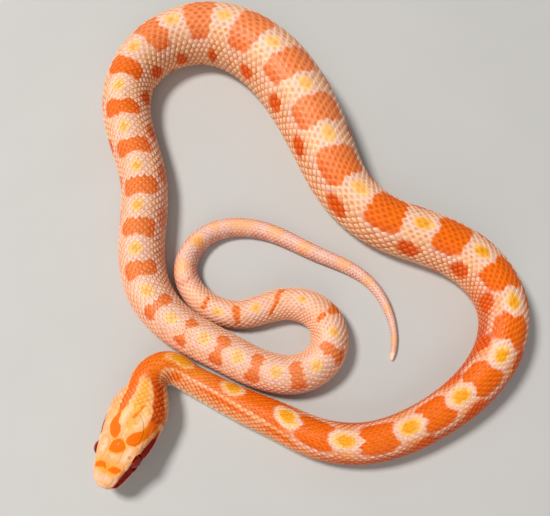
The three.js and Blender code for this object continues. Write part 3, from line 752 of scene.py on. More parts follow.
# Marks as chains of (distance from the snout, distance to the left, half width).
# A painted highlight on the frontal shield.
FRONTAL_PAINTED_HIGHLIGHT = [(6.4, -0.1, 0.06), (6.65, 0.0, 0.12)]
# A pale painted highlight on the snout's tip.
SNOUT_PAINTED_HIGHLIGHT = [(0.9, -1.1, 0.3), (1.2, -0.5, 0.3), (1.35, 0.6, 0.3)]
SPEAR_STREAK = [(8.4, 0.1, 0.2), (9.6, 0.3, 0.4), (10.6, 0.5, 0.5)]
SPEAR_CORE = [(11.8, 0.4, 0.5), (13.0, 0.4, 0.85), (15.0, 0.3, 0.85), (16.8, 0.1, 0.5)]
SPEAR_FLECKS = [
    [(11.1, 0.4, 0.26), (11.6, 0.7, 0.3)], [(12.1, 0.8, 0.24), (13.0, 1.1, 0.22)],
    [(14.15, 1.35, 0.1), (14.2, 1.4, 0.1)], [(10.2, 0.95, 0.08), (10.3, 1.3, 0.08)],
]
HEAD_CLOUDS = [
    [(9.8, -1.0, 0.3), (11.3, -1.0, 0.4), (12.4, -0.6, 0.2)],
    [(9.8, 1.3, 0.3), (10.6, 1.9, 0.4), (11.8, 2.0, 0.3)],
    [(4.8, 1.9, 0.3), (6.3, 2.1, 0.35)], [(5.0, -2.1, 0.3), (6.4, -2.1, 0.3)],
    [(8.5, 0.0, 0.15), (8.9, 0.1, 0.2)],
]
PREFRONTAL_MARKS = [
    [(2.75, -1.9, 0.38), (3.0, -1.35, 0.52), (3.1, -0.85, 0.36), (2.75, -0.45, 0.2)],
    [(2.7, 0.35, 0.26), (2.85, 0.8, 0.46), (2.95, 1.3, 0.46), (3.1, 1.75, 0.3)],
]
GREY_DOTS = [
    (5.75, -2.2, 0.12), (5.35, 2.4, 0.26), (9.95, -0.2, 0.14), (4.6, -0.9, 0.1), (14.5, -0.5, 0.1),
]
# The dark band through the eye, on the head's side: the red eye stripe, with painted shade in its dark
# colour and in the left band's greater width. The second number is the height over the head's underside.
LEFT_EYE_BAND = [
    (0.9, 2.5, 0.5), (2.4, 2.8, 0.75), (4.0, 2.95, 0.95), (5.2, 3.05, 1.05), (6.6, 3.0, 0.95),
    (8.2, 2.9, 0.7), (9.4, 2.9, 0.4), (10.6, 2.9, 0.1),
]
RIGHT_EYE_BAND = [
    (3.5, 2.9, 0.15), (4.1, 3.1, 0.5), (5.2, 3.3, 0.8), (6.6, 3.3, 0.65),
    (8.2, 3.15, 0.45), (9.4, 3.05, 0.25), (10.4, 3.0, 0.1),
]

# How far in from a corner an outline is cut at each step of rounding.
CORNER_CUT = 0.12


def from_line(x, y, start, end):
    """How far points lie from a straight line, and their places along it from 0 to 1."""
    dx = end[0] - start[0]
    dy = end[1] - start[1]
    x = x - start[0]
    y = y - start[1]
    t = np.clip((x * dx + y * dy) / max(dx * dx + dy * dy, 1e-9), 0, 1)
    return np.hypot(x - t * dx, y - t * dy), t


def in_chain(x, y, chain, soft):
    """One inside a chain of round marks, nothing outside it."""
    nearest = np.full(np.broadcast(x, y).shape, 1e9)
    for start, end in zip(chain, chain[1:] or chain):
        far, t = from_line(x, y, start, end)
        nearest = np.minimum(nearest, far - (start[2] + t * (end[2] - start[2])))
    return smooth_step(soft, -soft, nearest)


def inside_by(x, y, outline):
    """How far points lie inside a closed outline, less than nothing outside it."""
    corners = rounded(outline, 5 * len(outline))
    nearest = np.full(x.shape, 1e9)
    inside = np.zeros(x.shape, bool)
    for start, end in zip(corners, np.roll(corners, -1, axis=0)):
        nearest = np.minimum(nearest, from_line(x, y, start, end)[0])
        if end[1] != start[1]:
            crossing = start[0] + (end[0] - start[0]) * (y - start[1]) / (end[1] - start[1])
            inside ^= ((start[1] > y) != (end[1] > y)) & (x < crossing)
    return np.where(inside, nearest, -nearest)


def rounded(outline, count):
    """A closed outline with its corners rounded, as evenly spaced points."""
    points = np.asarray(outline, float)
    for _ in range(3):
        on = np.roll(points, -1, axis=0)
        first = points * (1 - CORNER_CUT) + on * CORNER_CUT
        second = points * CORNER_CUT + on * (1 - CORNER_CUT)
        points = np.stack([first, second], 1).reshape(-1, 2)
    closed = np.concatenate([points, points[:1]])
    walk = np.r_[0, np.cumsum(np.linalg.norm(np.diff(closed, axis=0), axis=1))]
    at = np.linspace(0, walk[-1], count, endpoint=False)
    return np.stack([np.interp(at, walk, closed[:, n]) for n in (0, 1)], -1)


class HeadPlace:
    """Where points lie on the head, in millimetres, with noise that breaks up the borders."""

    def __init__(self, at, arc):
        self.at = at
        self.arc = arc
        self.along = at / MM
        side, up = body.flat_point(at, arc)
        self.side = side / MM
        self.up = up / MM
        self.top = smooth_step(3.2, 3.9, self.up + 0.6 * smooth_step(4.0, 1.0, self.along))
        self.wobble = 0.08 * self.grain(1.5, 3)

    def grain(self, size, seed):
        return grain(self.at, self.arc, size * MM, seed)


def paint_snout(here, paint):
    """The head's ground, with the snout's pale tip, a painted highlight on it, and the marks across it."""
    middle = np.abs(here.side)
    paint.add(SNOUT_PINK, smooth_step(2.6, 1.2, here.along))
    paint.add(HEAD_CREAM, 0.8 * here.top * bump(here.along - 4.6) * smooth_step(2.6, 1.6, middle))
    paint.add(LIP_PINK, smooth_step(2.9, 2.4, here.up))
    paint.add(HEAD_ROSE, 0.6 * smooth_step(0.0, 0.7, here.grain(2.6, 5)))
    paint.add(HEAD_AMBER, 0.7 * here.top * smooth_step(0.2, 0.8, here.grain(2.2, 14)))
    paint.add(HEAD_AMBER, 0.8 * here.top * bump((here.along - 3.9) / 0.5) * smooth_step(2.4, 1.4, middle))
    # A pale painted highlight on the snout's tip.
    paint.add(HEAD_ROSE, 0.7 * in_chain(here.along, here.side, SNOUT_PAINTED_HIGHLIGHT, 0.25))
    band = inside_by(here.along + here.wobble, here.side, SNOUT_BAND)
    paint.add(SPEAR_BACK, 0.9 * here.top * smooth_step(-0.3, 0.2, band))
    for mark in PREFRONTAL_MARKS:
        paint.add(HEAD_ORANGE, here.top * in_chain(here.along + here.wobble, here.side, mark, 0.14))


def paint_spear(here, paint):
    """The spear on the crown between its two orange bars."""
    side = here.side + here.wobble
    nape = smooth_step(10.5, 12.5, here.along)
    for bar, nape_share in ((RIGHT_BAR, 0.35), (LEFT_BAR, 1.0)):
        within = inside_by(here.along, side, bar)
        paint.add(SPEAR_FRONT, 0.8 * smooth_step(-0.4, -0.1, within))
        paint.add(HEAD_ORANGE, smooth_step(-0.1, 0.08, within))
        paint.add(NAPE_DARK, nape_share * nape * smooth_step(-0.1, 0.1, within))
    within = inside_by(here.along, side, SPEAR)
    paint.add(HEAD_CREAM, here.top * smooth_step(-0.12, 0.04, within))
    paint.add(SPEAR_FRONT, here.top * smooth_step(0.16, 0.34, within))
    paint.add(SPEAR_BACK, 0.5 * here.top * in_chain(here.along, here.side, SPEAR_STREAK, 0.3))
    paint.add(SPEAR_BACK, 0.9 * here.top * in_chain(here.along, here.side, SPEAR_CORE, 0.4))
    for mark in HEAD_CLOUDS:
        paint.add(HEAD_CLOUD, 0.8 * here.top * in_chain(here.along + here.wobble, side, mark, 0.35))
    for mark in SPEAR_FLECKS:
        paint.add(HEAD_ORANGE, 0.85 * here.top * in_chain(here.along, side, mark, 0.14))


def paint_crown(here, paint):
    """The round mark between the eyes with a painted highlight on it, and grey dots."""
    within = inside_by(here.along, here.side + 0.5 * here.wobble, FRONTAL_SPOT)
    paint.add(SPEAR_BACK, here.top * smooth_step(-0.3, -0.16, within))
    paint.add(HEAD_ORANGE, here.top * smooth_step(-0.06, 0.06, within))
    # A painted highlight on the frontal shield.
    paint.add(SPEAR_FRONT, 0.5 * here.top * in_chain(here.along, here.side, FRONTAL_PAINTED_HIGHLIGHT, 0.06))
    for mark in GREY_DOTS:
        share = 0.75 * here.top * in_chain(here.along, here.side, [mark], 0.08)
        paint.colour = mix(paint.colour, GREY_DOT, share)


def paint_head_sides(here, paint):
    """The left cheek's blotches, the band through each eye with painted shade in it, the chin and the line
    of the mouth.
    """
    cheek = smooth_step(7.6, 9.4, here.along) * smooth_step(14.5, 13, here.along)
    cheek = cheek * smooth_step(3.1, 3.5, here.side)
    paint.add(BLOTCH, 0.75 * cheek * smooth_step(-0.5, 0.5, here.grain(1.6, 8)))
    # Each band is the red eye stripe with painted shade: dark, and wider on the left.
    for band, hand in ((LEFT_EYE_BAND, 1), (RIGHT_EYE_BAND, -1)):
        beside = smooth_step(0.5, 1.2, hand * here.side)
        paint.add(EYE_STRIPE_AND_SHADE, in_chain(here.along, here.up, band, 0.16) * beside)
    paint.add(BELLY_PALE, smooth_step(1.5, 1.0, here.up))
    off_mouth = (np.abs(here.arc) - body.arc_at_place(here.at, MOUTH_PLACE)) / MM
    paint.add(MOUTH_LINE, 0.8 * bump(off_mouth / 0.1) * smooth_step(12.4, 11.4, here.along))


def head_marking(at, arc, heart):
    """Colour of the head; heart is 1 in the middle of a shield or scale."""
    here = HeadPlace(at, arc)
    paint = Paint(HEAD_PEACH, heart)
    paint_snout(here, paint)
    paint_spear(here, paint)
    paint_crown(here, paint)
    paint_head_sides(here, paint)
    return paint.colour


def skin_colour(at, arc, edge, heart):
    """Markings of the whole animal at a signed arc from the crown."""
    half = body.half_arc_at(at)
    turned = (arc - back_turn(at) + half) % (2 * half) - half
    colour = marking(at, turned, edge, heart)
    near = np.nonzero(at < HEAD_MARKS_END)
    if len(near[0]):
        at = at[near]
        arc = arc[near]
        side, _ = body.flat_point(at, arc)
        share = smooth_step(*HEAD_MARKS_FADE, at + 0.2 * np.abs(side))
        colour[near] = mix(colour[near], head_marking(at, arc, heart[near]), share)
    return colour


def arc_at_height(at, up):
    """Arc from the crown down to a height on the head's side."""
    row = int(round(at / body.RING_STEP))
    below = np.nonzero((body.outlines[row, :, 1] < up) & (body.places > 0.7))[0][0]
    return body.arcs[row, below]


def arc_at_side(at, side):
    """Arc from the crown out to a distance from the middle, on the head's top."""
    row = int(round(at / body.RING_STEP))
    outline = body.outlines[row]
    widest = outline[:, 0].argmax()
    return np.interp(side, outline[:widest, 0], body.arcs[row, :widest])


# The middle of the eye and the nostril as arcs from the crown.
EYE_ARC = arc_at_height(EYE["along"] * MM, EYE["up"] * MM)
NOSTRIL_ARC = arc_at_height(NOSTRIL["along"] * MM, NOSTRIL["up"] * MM)


def axes_at(at):
    """The midline's point at one distance, the directions ahead and left, and the lift."""
    middle = body.midline(np.array(at))
    ahead = body.midline(np.array(at + body.DIRECTION_STEP)) - middle
    ahead /= np.linalg.norm(ahead)
    return middle + FRAME_SHIFT, ahead, np.array([ahead[1], -ahead[0]]), float(smooth_table(LIFT, at))


def head_relief(at, arc):
    """Eye sockets, brows, nostrils and the line of the mouth, as a height over the plain head."""
    around = np.abs(arc)
    eye = np.hypot((at / MM - EYE["along"]) / EYE["length"], (around - EYE_ARC) / MM / EYE["height"])
    socket = -SOCKET_DEPTH * smooth_step(*SOCKET_EDGE, eye)
    lid = LID_RISE * bump((eye - LID_PLACE) / LID_WIDTH)
    brow = BROW_RISE * bump((around - body.arc_at_place(at, BROW_PLACE)) / BROW_WIDTH)
    brow = brow * smooth_step(*BROW_STARTS, at) * smooth_step(*BROW_ENDS, at)
    nostril = np.hypot(at / MM - NOSTRIL["along"], (around - NOSTRIL_ARC) / MM) / NOSTRIL["radius"]
    pit = -NOSTRIL_DEPTH * smooth_step(*NOSTRIL_EDGE, nostril)
    mouth = -MOUTH_DEPTH * bump((around - body.arc_at_place(at, MOUTH_PLACE)) / MOUTH_WIDTH)
    mouth = mouth * smooth_step(*MOUTH_STARTS, at) * smooth_step(*MOUTH_ENDS, at)
    return socket + np.maximum(lid, brow) + pit + mouth


def make_mesh(name, points, faces, colours, uvs, smooth=True):
    """An object from arrays of points, triangles, point colours and point UVs."""
    mesh = bpy.data.meshes.new(name)
    mesh.vertices.add(len(points))
    mesh.vertices.foreach_set("co", np.asarray(points, np.float32).ravel())
    mesh.loops.add(faces.size)
    mesh.loops.foreach_set("vertex_index", faces.astype(np.int32).ravel())
    mesh.polygons.add(len(faces))
    starts = np.arange(0, faces.size, faces.shape[1], dtype=np.int32)
    mesh.polygons.foreach_set("loop_start", starts)
    mesh.polygons.foreach_set("use_smooth", np.full(len(faces), smooth))
    mesh.update(calc_edges=True)
    mesh.validate()
    if colours is not None:
        layer = mesh.color_attributes.new("Marking", "FLOAT_COLOR", "POINT")
        rgba = np.ones((len(points), 4), np.float32)
        rgba[:, :3] = colours
        layer.data.foreach_set("color", rgba.ravel())
    if uvs is not None:
        layer = mesh.uv_layers.new(name="OFBake")
        layer.data.foreach_set("uv", np.asarray(uvs, np.float32)[faces.ravel()].ravel())
    piece = bpy.data.objects.new(name, mesh)
    bpy.context.scene.collection.objects.link(piece)
    return piece


# The unwrap: the body's length in strips, one over the other.
STRIPS = 8
STRIP_FILL = 0.48
WIDEST_ARC = 20.5 * MM


def unwrap(at, arc):
    """Places on the unwrap for points on the body."""
    strip_length = body.length * 1.001 / STRIPS
    strip = np.clip(np.floor(at / strip_length), 0, STRIPS - 1)
    u = 0.01 + 0.98 * (at / strip_length - strip)
    v = (strip + 0.5 + STRIP_FILL * arc / WIDEST_ARC) / STRIPS
    return np.stack([u, v], -1)


# Where the small scales begin behind the head's shields, by share of the half arc.
SCALE_START = [
    (0, 12.15), (0.16, 12.3), (0.3, 11.6), (0.42, 11.25), (0.6, 11.5), (0.75, 11.9), (1.0, 12.3),
]
# How far in front of and behind that line the skin sinks from its own level to under the scales.
SINKS_BEFORE = 0.3 * MM
SINKS_BEHIND = 0.5 * MM


def scale_start(at, arc):
    """Distance from the snout at which the small scales begin."""
    share = np.abs(arc) / body.back_arc(at)
    return MM * np.interp(share, *zip(*SCALE_START))


def under_scales(at, arc):
    """One where the skin lies under the small scales, nothing on the shields and the chin."""
    start = scale_start(at, arc)
    return smooth_step(start - SINKS_BEFORE, start + SINKS_BEHIND, at)


def strip_faces(near, far, count):
    """Triangles between two closed rings of points, which start at the numbers near and far."""
    k = np.arange(count)
    k_on = (k + 1) % count
    return np.concatenate([
        np.stack([near + k, far + k, far + k_on], -1),
        np.stack([near + k, far + k_on, near + k_on], -1),
    ])


def fan_faces(ring, tip, count):
    """Triangles between a closed ring of points and one point."""
    k = np.arange(count)
    return np.stack([ring + k, ring + (k + 1) % count, np.full(count, tip)], -1)


def skin_height(at, arc):
    """Height of the skin over the solids: sunk under the scales, and modelled on the head."""
    girth = smooth_table(GIRTH, at)
    depth = COAT_DEPTH * smooth_step(body.length, body.length - COAT_THINS_OVER, at)
    depth = np.minimum(depth, DEEPEST_GIRTH_SHARE * girth)
    depth = depth * (HEAD_COAT_SHARE + (1 - HEAD_COAT_SHARE) * under_scales(at, arc))
    to_tip = np.clip((at - body.length) / TAIL_SPINE + 1, 0, 1)
    depth = depth + TAIL_SPINE_TAPER * girth * to_tip ** 2
    return head_relief(at, arc) * smooth_step(*RELIEF_FADES, at) - depth


def build_skin():
    """The whole animal's skin, one closed mesh under the scales."""
    head_count = int(HEAD_LENGTH / HEAD_RING_STEP)
    head = HEAD_LENGTH * (np.arange(head_count) / head_count) ** SNOUT_CROWDING
    rings = np.r_[head, np.arange(HEAD_LENGTH, body.length - TIP_MARGIN, SKIN_RING_STEP)]
    turn = np.arange(SKIN_ROUND) / SKIN_ROUND * 2 - 1
    at = np.repeat(rings[:, None], SKIN_ROUND, 1)
    arc = turn[None] * body.half_arc_at(rings)[:, None]
    points, _ = body.place(at, arc, skin_height(at, arc))
    points[..., 2] = np.maximum(points[..., 2], SKIN_OVER_FLOOR)
    noise = SKIN_ROUGH * grain(at, arc, SKIN_GRAIN, 21)
    colours = skin_colour(at, arc, noise, np.zeros_like(at))
    colours = mix(colours, RING[0], 0.3 * smooth_step(17 * MM, 22 * MM, at))
    uvs = unwrap(at, arc)
    last = len(rings) - 1
    tip = len(rings) * SKIN_ROUND
    faces = [strip_faces(n * SKIN_ROUND, (n + 1) * SKIN_ROUND, SKIN_ROUND) for n in range(last)]
    faces.append(fan_faces(0, tip, SKIN_ROUND))
    faces.append(fan_faces(last * SKIN_ROUND, tip + 1, SKIN_ROUND)[:, ::-1])

    def with_ends(values, ends):
        return np.concatenate([values.reshape(-1, values.shape[-1]), ends])

    return make_mesh("skin", with_ends(points, points[[0, -1]].mean(1)), np.concatenate(faces),
                     with_ends(colours, colours[[0, -1], 0]), with_ends(uvs, uvs[[0, -1], 0]))


def leaf_template(along, across, profile):
    """A scale's grid: place along it 0 to 1, place across -1 to 1, and share of half width."""
    x, y = np.meshgrid(along, across, indexing="ij")
    wide = np.interp(x, *zip(*profile))
    index = np.arange(x.size).reshape(x.shape)
    a, b, c, d = index[:-1, :-1], index[1:, :-1], index[1:, 1:], index[:-1, 1:]
    top = np.concatenate([
        np.stack([a, b, c], -1).reshape(-1, 3), np.stack([a, c, d], -1).reshape(-1, 3),
    ])
    border = np.concatenate([index[0, :], index[1:, -1], index[-1, -2::-1], index[-2:0:-1, 0]])
    return x.ravel(), y.ravel(), wide.ravel(), top, border


def scale_dome(x, y):
    """The swell of a scale's top, nothing at its edges."""
    return (1 - y ** 2) * np.sin(math.pi * np.clip(x * 0.95 + 0.03, 0, 1)) ** 0.5


def over_floor(height):
    """Heights eased up where a scale would pass into the floor."""
    eased = FLOOR_EASE * np.exp(np.minimum(height / FLOOR_EASE - 1, 0))
    return np.where(height < FLOOR_EASE, eased, height)


def scale_lift(x, front, rise, tuck):
    """Height of a scale's top over the surface: low in front and free behind."""
    return MM * (front + rise * x - tuck * smooth_step(TUCK_STARTS, 1.0, x))


def lay_scales(name, root, arc, length, half_width, template, lift, colour_at, dome, keel):
    """One joined mesh of overlapping scales.

    root and arc place each scale's middle; lift says how its height changes along it; dome and
    keel are the heights of its swell and of its keel; colour_at gives the colour of every point.
    """
    x, y, w, top, border = template
    at = root[:, None] + (x[None] - 0.5) * length[:, None]
    at = np.clip(at, SCALE_MARGIN, body.length - SCALE_MARGIN)
    around = arc[:, None] + (y * w)[None] * half_width[:, None]
    size = np.minimum(1, half_width / FULL_HALF_WIDTH)[:, None]
    height = (scale_lift(x, *lift)[None] + dome[:, None] * scale_dome(x, y)[None]) * size
    height = height + keel[:, None] * (bump(y / 0.2) * (0.4 + 0.6 * x))[None]
    height = height * np.where(height > 0, 1 - TAIL_FLATTER * smooth_step(*TAIL_FLATTENS, at), 1)
    points, out = body.place(at, around, height)
    points[..., 2] = over_floor(points[..., 2])
    rim = points[:, border]
    under = rim - out[:, border] * (SCALE_THICKNESS * size[..., None])
    all_points = np.concatenate([points, rim, under, under.mean(1, keepdims=True)], axis=1)
    colours = colour_at(at, around, x, y)
    rim_colours = colours[:, border]
    # The scale's lower rim is darkened as painted shade.
    colours = np.concatenate([colours, rim_colours, rim_colours * 0.85, colours[:, :1]], axis=1)
    local = np.stack([x - 0.5, y * w * 0.5], -1)
    local = np.concatenate([local, local[border], local[border], np.zeros((1, 2))])
    uvs = unwrap(root, arc)[:, None] + PATCH * local[None]
    edge = len(border)
    wall = len(x)
    base = wall + edge
    faces = np.concatenate([
        top, strip_faces(wall, base, edge)[:, ::-1], fan_faces(base, base + edge, edge),
    ])
    starts = np.arange(len(root)) * (base + edge + 1)
    faces = (faces[None] + starts[:, None, None]).reshape(-1, 3)
    return make_mesh(name, all_points.reshape(-1, 3), faces, colours.reshape(-1, 3), uvs.reshape(-1, 2))


def row_steps():
    """Distances along the body at which the count of scales reaches whole and half numbers."""
    fine = np.arange(SCALES_START, body.length, COUNT_STEP)
    count = np.cumsum(COUNT_STEP / smooth_table(SCALE_STEP, fine))
    halves = np.arange(0, count[-1], 0.5)
    return np.interp(halves, count, fine)


def scale_roots():
    """Every back scale's middle: distance along, arc from the back's middle line, and row."""
    roots = []
    for half_count, at in enumerate(row_steps()):
        reach = float(body.back_arc(at))
        rows = float(smooth_table(ROWS_A_SIDE, at / MM))
        for row in range(-MOST_ROWS, MOST_ROWS + 1):
            share = abs(row) / (rows + 0.5)
            if (row + half_count) % 2 or share > 1.0:
                continue
            spread = (share + FLANK_CROWDING * share ** 3) / (1 + FLANK_CROWDING)
            roots.append((at, math.copysign(spread * reach, row), row, reach / (rows + 0.5)))
    return np.array(roots)


def scale_heart(x, y, flank):
    """Where a scale is dark: in its middle on the back; on the sides its front, behind its neighbours'
    tips, darkened as painted shade.
    """
    spot = bump(np.hypot((x - 0.62) / 0.22, y / 0.48))[None]
    # On the sides the scale's front, under its neighbours' tips, is darkened as painted shade.
    past_neighbours = x - (1 + np.abs(y)) / 3
    front = smooth_step(0.26, 0.04, past_neighbours)[None]
    return 0.95 * spot * (1 - flank) + (0.9 * front + 0.25 * spot) * flank


def scale_colour(at, around, x, y):
    """The marking at each point, drawn a little to the scale's middle, with its darker part, which on the
    sides is painted shade at the scale's front.
    """
    middle = len(x) // 2
    heart_at = at[:, middle:middle + 1]
    heart_arc = around[:, middle:middle + 1]
    noise = rng.uniform(-SCALE_ROUGH, SCALE_ROUGH, heart_at.shape) * MM
    share = np.abs(heart_arc - back_turn(heart_at)) / body.back_arc(heart_at)
    flank = smooth_step(*FLANK_SHARES, share)
    heart = np.minimum(scale_heart(x, y, flank) * rng.uniform(*HEART_SHADES, heart_at.shape), 1)
    place = heart_at + (at - heart_at) * OWN_PLACE
    across = heart_arc + (around - heart_arc) * OWN_PLACE
    colour = skin_colour(place, across, noise + np.zeros_like(at), heart)
    return colour * rng.uniform(*SCALE_SHADES, heart_at.shape)[..., None]


def build_back_scales():
    """The back's and the flanks' scales, in pieces from the head to the tail."""
    template = leaf_template(SCALE_ROWS, SCALE_COLUMNS, SCALE_PROFILE)
    at, arc, row, half_step = scale_roots().T
    row = np.abs(row)
    arc = arc + back_turn(at)
    step = smooth_table(SCALE_STEP, at)
    jitter = rng.normal(0, SCALE_JITTER, (len(at), 2))
    at = at + jitter[:, 0] * step
    length = step * SCALE_LENGTH * (1 + jitter[:, 1])
    half_width = half_step * SCALE_HALF_WIDTH * (1 + LOW_ROW_WIDER * (row > LOW_ROW))
    keel = KEEL_RISE * smooth_step(*KEEL_ROWS, row) * smooth_step(*KEEL_STARTS, at)
    dome = BACK_DOME + (FLANK_DOME - BACK_DOME) * smooth_step(*DOME_ROWS, row)
    dome = dome * smooth_step(*DOME_HALF_WIDTHS, half_width)
    keep = (at > scale_start(at, arc)) & (at < body.length - TAIL_SPINE)
    at, arc, length, half_width, dome, keel = (
        value[keep] for value in (at, arc, length, half_width, dome, keel))
    pieces = []
    for first in range(0, len(at), SCALES_A_PIECE):
        part = slice(first, first + SCALES_A_PIECE)
        pieces.append(lay_scales(
            "back_scales_%d" % (len(pieces) + 1), at[part], arc[part], length[part], half_width[part],
            template, BACK_LIFT, scale_colour, dome[part], keel[part]))
    return pieces


def belly_colour(at, around, x, y):
    """The marking at each point, with a darker hind edge."""
    edge = smooth_step(0.75, 1.0, x)[None] + np.zeros_like(at)
    return skin_colour(at, around, np.zeros_like(at), 0.8 * edge)


def build_belly_scales():
    """The wide belly scales, one for each step of the back's scales."""
    at = row_steps()[::2]
    at = at[(at > BELLY_START) & (at < body.length - TAIL_SPINE)]
    half = body.half_arc_at(at)
    template = leaf_template(np.linspace(0, 1, 5), np.linspace(-1, 1, 17), BELLY_PROFILE)
    return lay_scales("belly_scales", at, half + back_turn(at),
                      smooth_table(SCALE_STEP, at) * BELLY_SCALE_LENGTH,
                      (half - body.back_arc(at)) * BELLY_OVERLAP, template, BELLY_LIFT,
                      belly_colour, np.full(len(at), BELLY_DOME), np.zeros(len(at)))


def throat_places():
    """Middles of the throat's scales: distance along and arc from the crown."""
    places = []
    for row in range(-THROAT_ROWS, THROAT_ROWS + 1):
        off = row * THROAT_ROW
        for step in np.arange(THROAT_START, THROAT_END, THROAT_STEP):
            at = step + (row % 2) * THROAT_STEP / 2
            foot = arc_at_height(at, MM * float(smooth_table(LOWER_LIP_FOOT, at / MM))) + LIP_MARGIN
            if at > THROAT_WIDENS:
                foot = float(body.back_arc(at))
            half = float(body.half_arc_at(at))
            past_chin = abs(off) > CHIN_SHIELD_SIDE or at > CHIN_SHIELD_END
            if past_chin and half - abs(off) > foot:
                places.append((at, half - off))
    return np.array(places)


def build_throat_scales():
    """Small scales between the lower lips, the chin's shields and the belly scales."""
    at, arc = throat_places().T
    one = np.ones(len(at))
    template = leaf_template(SCALE_ROWS, SCALE_COLUMNS, SCALE_PROFILE)
    return lay_scales("throat_scales", at, arc, one * THROAT_STEP * THROAT_LENGTH,
                      one * THROAT_ROW * THROAT_HALF_WIDTH, template, THROAT_LIFT,
                      belly_colour, one * BACK_DOME, 0 * one)


# Shields of the crown, seen from above: distance from the snout, distance from the middle.
FRONTAL = [(3.84, -1.24), (3.7, 0), (3.84, 1.24), (6.5, 1.24), (7.86, 0), (6.5, -1.24)]
CROWN_PAIRS = {
    "internasal": [(0.42, 0.015), (0.5, 0.95), (1.0, 1.4), (1.82, 1.5), (1.94, 0.015)],
    "prefrontal": [
        (2.0, 0.015), (1.9, 1.58), (2.3, 2.0), (3.5, 2.3), (4.1, 2.15), (3.74, 1.36), (3.62, 0.015),
    ],
    "supraocular": [
        (3.98, 1.38), (4.25, 2.3), (4.85, 2.9), (5.9, 3.14), (7.05, 3.08), (7.25, 2.3), (6.58, 1.36),
    ],
    "parietal": [
        (8.0, 0.003), (6.72, 1.42), (7.35, 2.35), (7.7, 2.9), (9.3, 2.84), (10.85, 2.2), (11.9, 0.95),
        (11.5, 0.003),
    ],
}
# Shields of the snout's front: distance from the middle, height over the head's underside.
ROSTRAL = [
    (-1.0, 1.84), (-0.5, 1.95), (0, 1.98), (0.5, 1.95), (1.0, 1.84), (1.05, 2.3), (0.7, 3.05),
    (0.3, 3.36), (-0.3, 3.36), (-0.7, 3.05), (-1.05, 2.3),
]
MENTAL = [
    (-0.85, 1.62), (-0.45, 1.8), (0, 1.85), (0.45, 1.8), (0.85, 1.62), (0.75, 1.2), (0, 0.85),
    (-0.75, 1.2),
]
# Shields of the chin: distance from the snout, distance from the middle.
CHIN_PAIRS = {
    "chin_first": [(0.9, 0.015), (1.1, 0.5), (2.0, 0.85), (2.4, 0.015)],
    "chin_front": [(2.5, 0.015), (2.1, 0.95), (4.3, 1.05), (4.8, 0.015)],
    "chin_back": [(4.9, 0.2), (4.45, 1.1), (6.9, 1.1), (7.4, 0.5)],
}
# Shields of the head's side: distance from the snout, height over the head's underside.
SIDE_SHIELDS = {
    "nasal": [(0.52, 2.3), (0.55, 2.95), (1.0, 3.5), (1.88, 3.66), (1.94, 2.56)],
    "loreal": [(2.04, 2.62), (2.04, 3.56), (3.26, 3.8), (3.36, 2.8)],
    "preocular": [(3.46, 2.84), (3.36, 3.95), (4.05, 4.18), (4.2, 3.4), (4.12, 2.72)],
    "postocular_upper": [(6.5, 3.4), (6.4, 4.36), (7.3, 4.36), (7.45, 3.46)],
    "postocular_lower": [(6.5, 2.66), (6.6, 3.34), (7.48, 3.38), (7.55, 2.7)],
    "temporal_1": [(7.64, 2.74), (7.56, 3.3), (9.2, 3.34), (9.35, 2.8)],
    "temporal_2": [(7.5, 3.4), (7.45, 4.3), (9.1, 4.3), (9.2, 3.44)],
    "temporal_3": [(9.44, 2.82), (9.32, 3.3), (11.1, 3.34), (11.3, 2.84)],
    "temporal_4": [(9.3, 3.44), (9.2, 4.2), (11.0, 4.25), (11.1, 3.44)],
}
# Seams between the lips' shields, and the heights of the upper ones' tops and the lower ones' feet.
UPPER_LIP_SEAMS = (0.5, 1.35, 2.35, 3.5, 4.8, 6.2, 7.8, 9.6, 11.7)
LOWER_LIP_SEAMS = (0.55, 1.4, 2.3, 3.4, 4.7, 6.3, 8.1, 10, 11.8)
UPPER_LIP_TOP = [(0.5, 2.2), (2, 2.54), (4, 2.62), (4.7, 2.16), (6.1, 2.16), (7.1, 2.6), (12, 2.68)]
LOWER_LIP_FOOT = [(0.5, 0.9), (2.6, 0.6), (12, 0.62)]
# Half a seam between two shields, and the lips' distance from the mouth's line, in millimetres.
SHIELD_SEAM = 0.01
LIP_EDGE = 0.03
LIP_FROM_MOUTH = 0.12
# Where the chin's underside turns up into its side.
CHIN_REACH = 2.0 * MM
# A shield's rise over the head, how far it is sunk, its thickness and its rounded edge.
SHIELD_RISE = 0.07 * MM
SHIELD_SINK = 0.03 * MM
SHIELD_THICKNESS = 0.14 * MM
SHIELD_EDGE = 0.12 * MM
SHIELD_SWELL = 0.02
# How far behind the snout's tip its front shields reach.
FRONT_REACH = 1.5 * MM
# Points round a shield, and its rings as shares of the way from its middle to its rim.
SHIELD_RIM_POINTS = 72
SHIELD_RINGS = np.array([0.0, 0.14, 0.27, 0.4, 0.52, 0.63, 0.73, 0.82, 0.89, 0.94, 0.975, 1.0])
LARGE_SHIELD = 0.9 * MM
LARGE_SHIELD_RINGS = np.r_[np.arange(24) / 25, 0.95, 0.975, 1.0]


def front_depth(side, up):
    """How far behind the snout's tip its surface lies, at points seen from the front."""
    fine = np.linspace(0, FRONT_REACH, 61)
    outlines = body.outline(body.half_sections(fine), body.places)
    widths = [np.interp(up, line[::-1, 1], line[::-1, 0], left=0, right=0) for line in outlines]
    widths = np.maximum.accumulate(widths, axis=0)
    depth = np.zeros(side.shape)
    for n in np.ndindex(side.shape):
        wide = widths[(slice(None),) + n]
        i = np.searchsorted(wide, abs(side[n]), side="right")
        if 0 < i < len(fine):
            share = (abs(side[n]) - wide[i - 1]) / (wide[i] - wide[i - 1])
            depth[n] = fine[i - 1] + share * (fine[i] - fine[i - 1])
    return depth


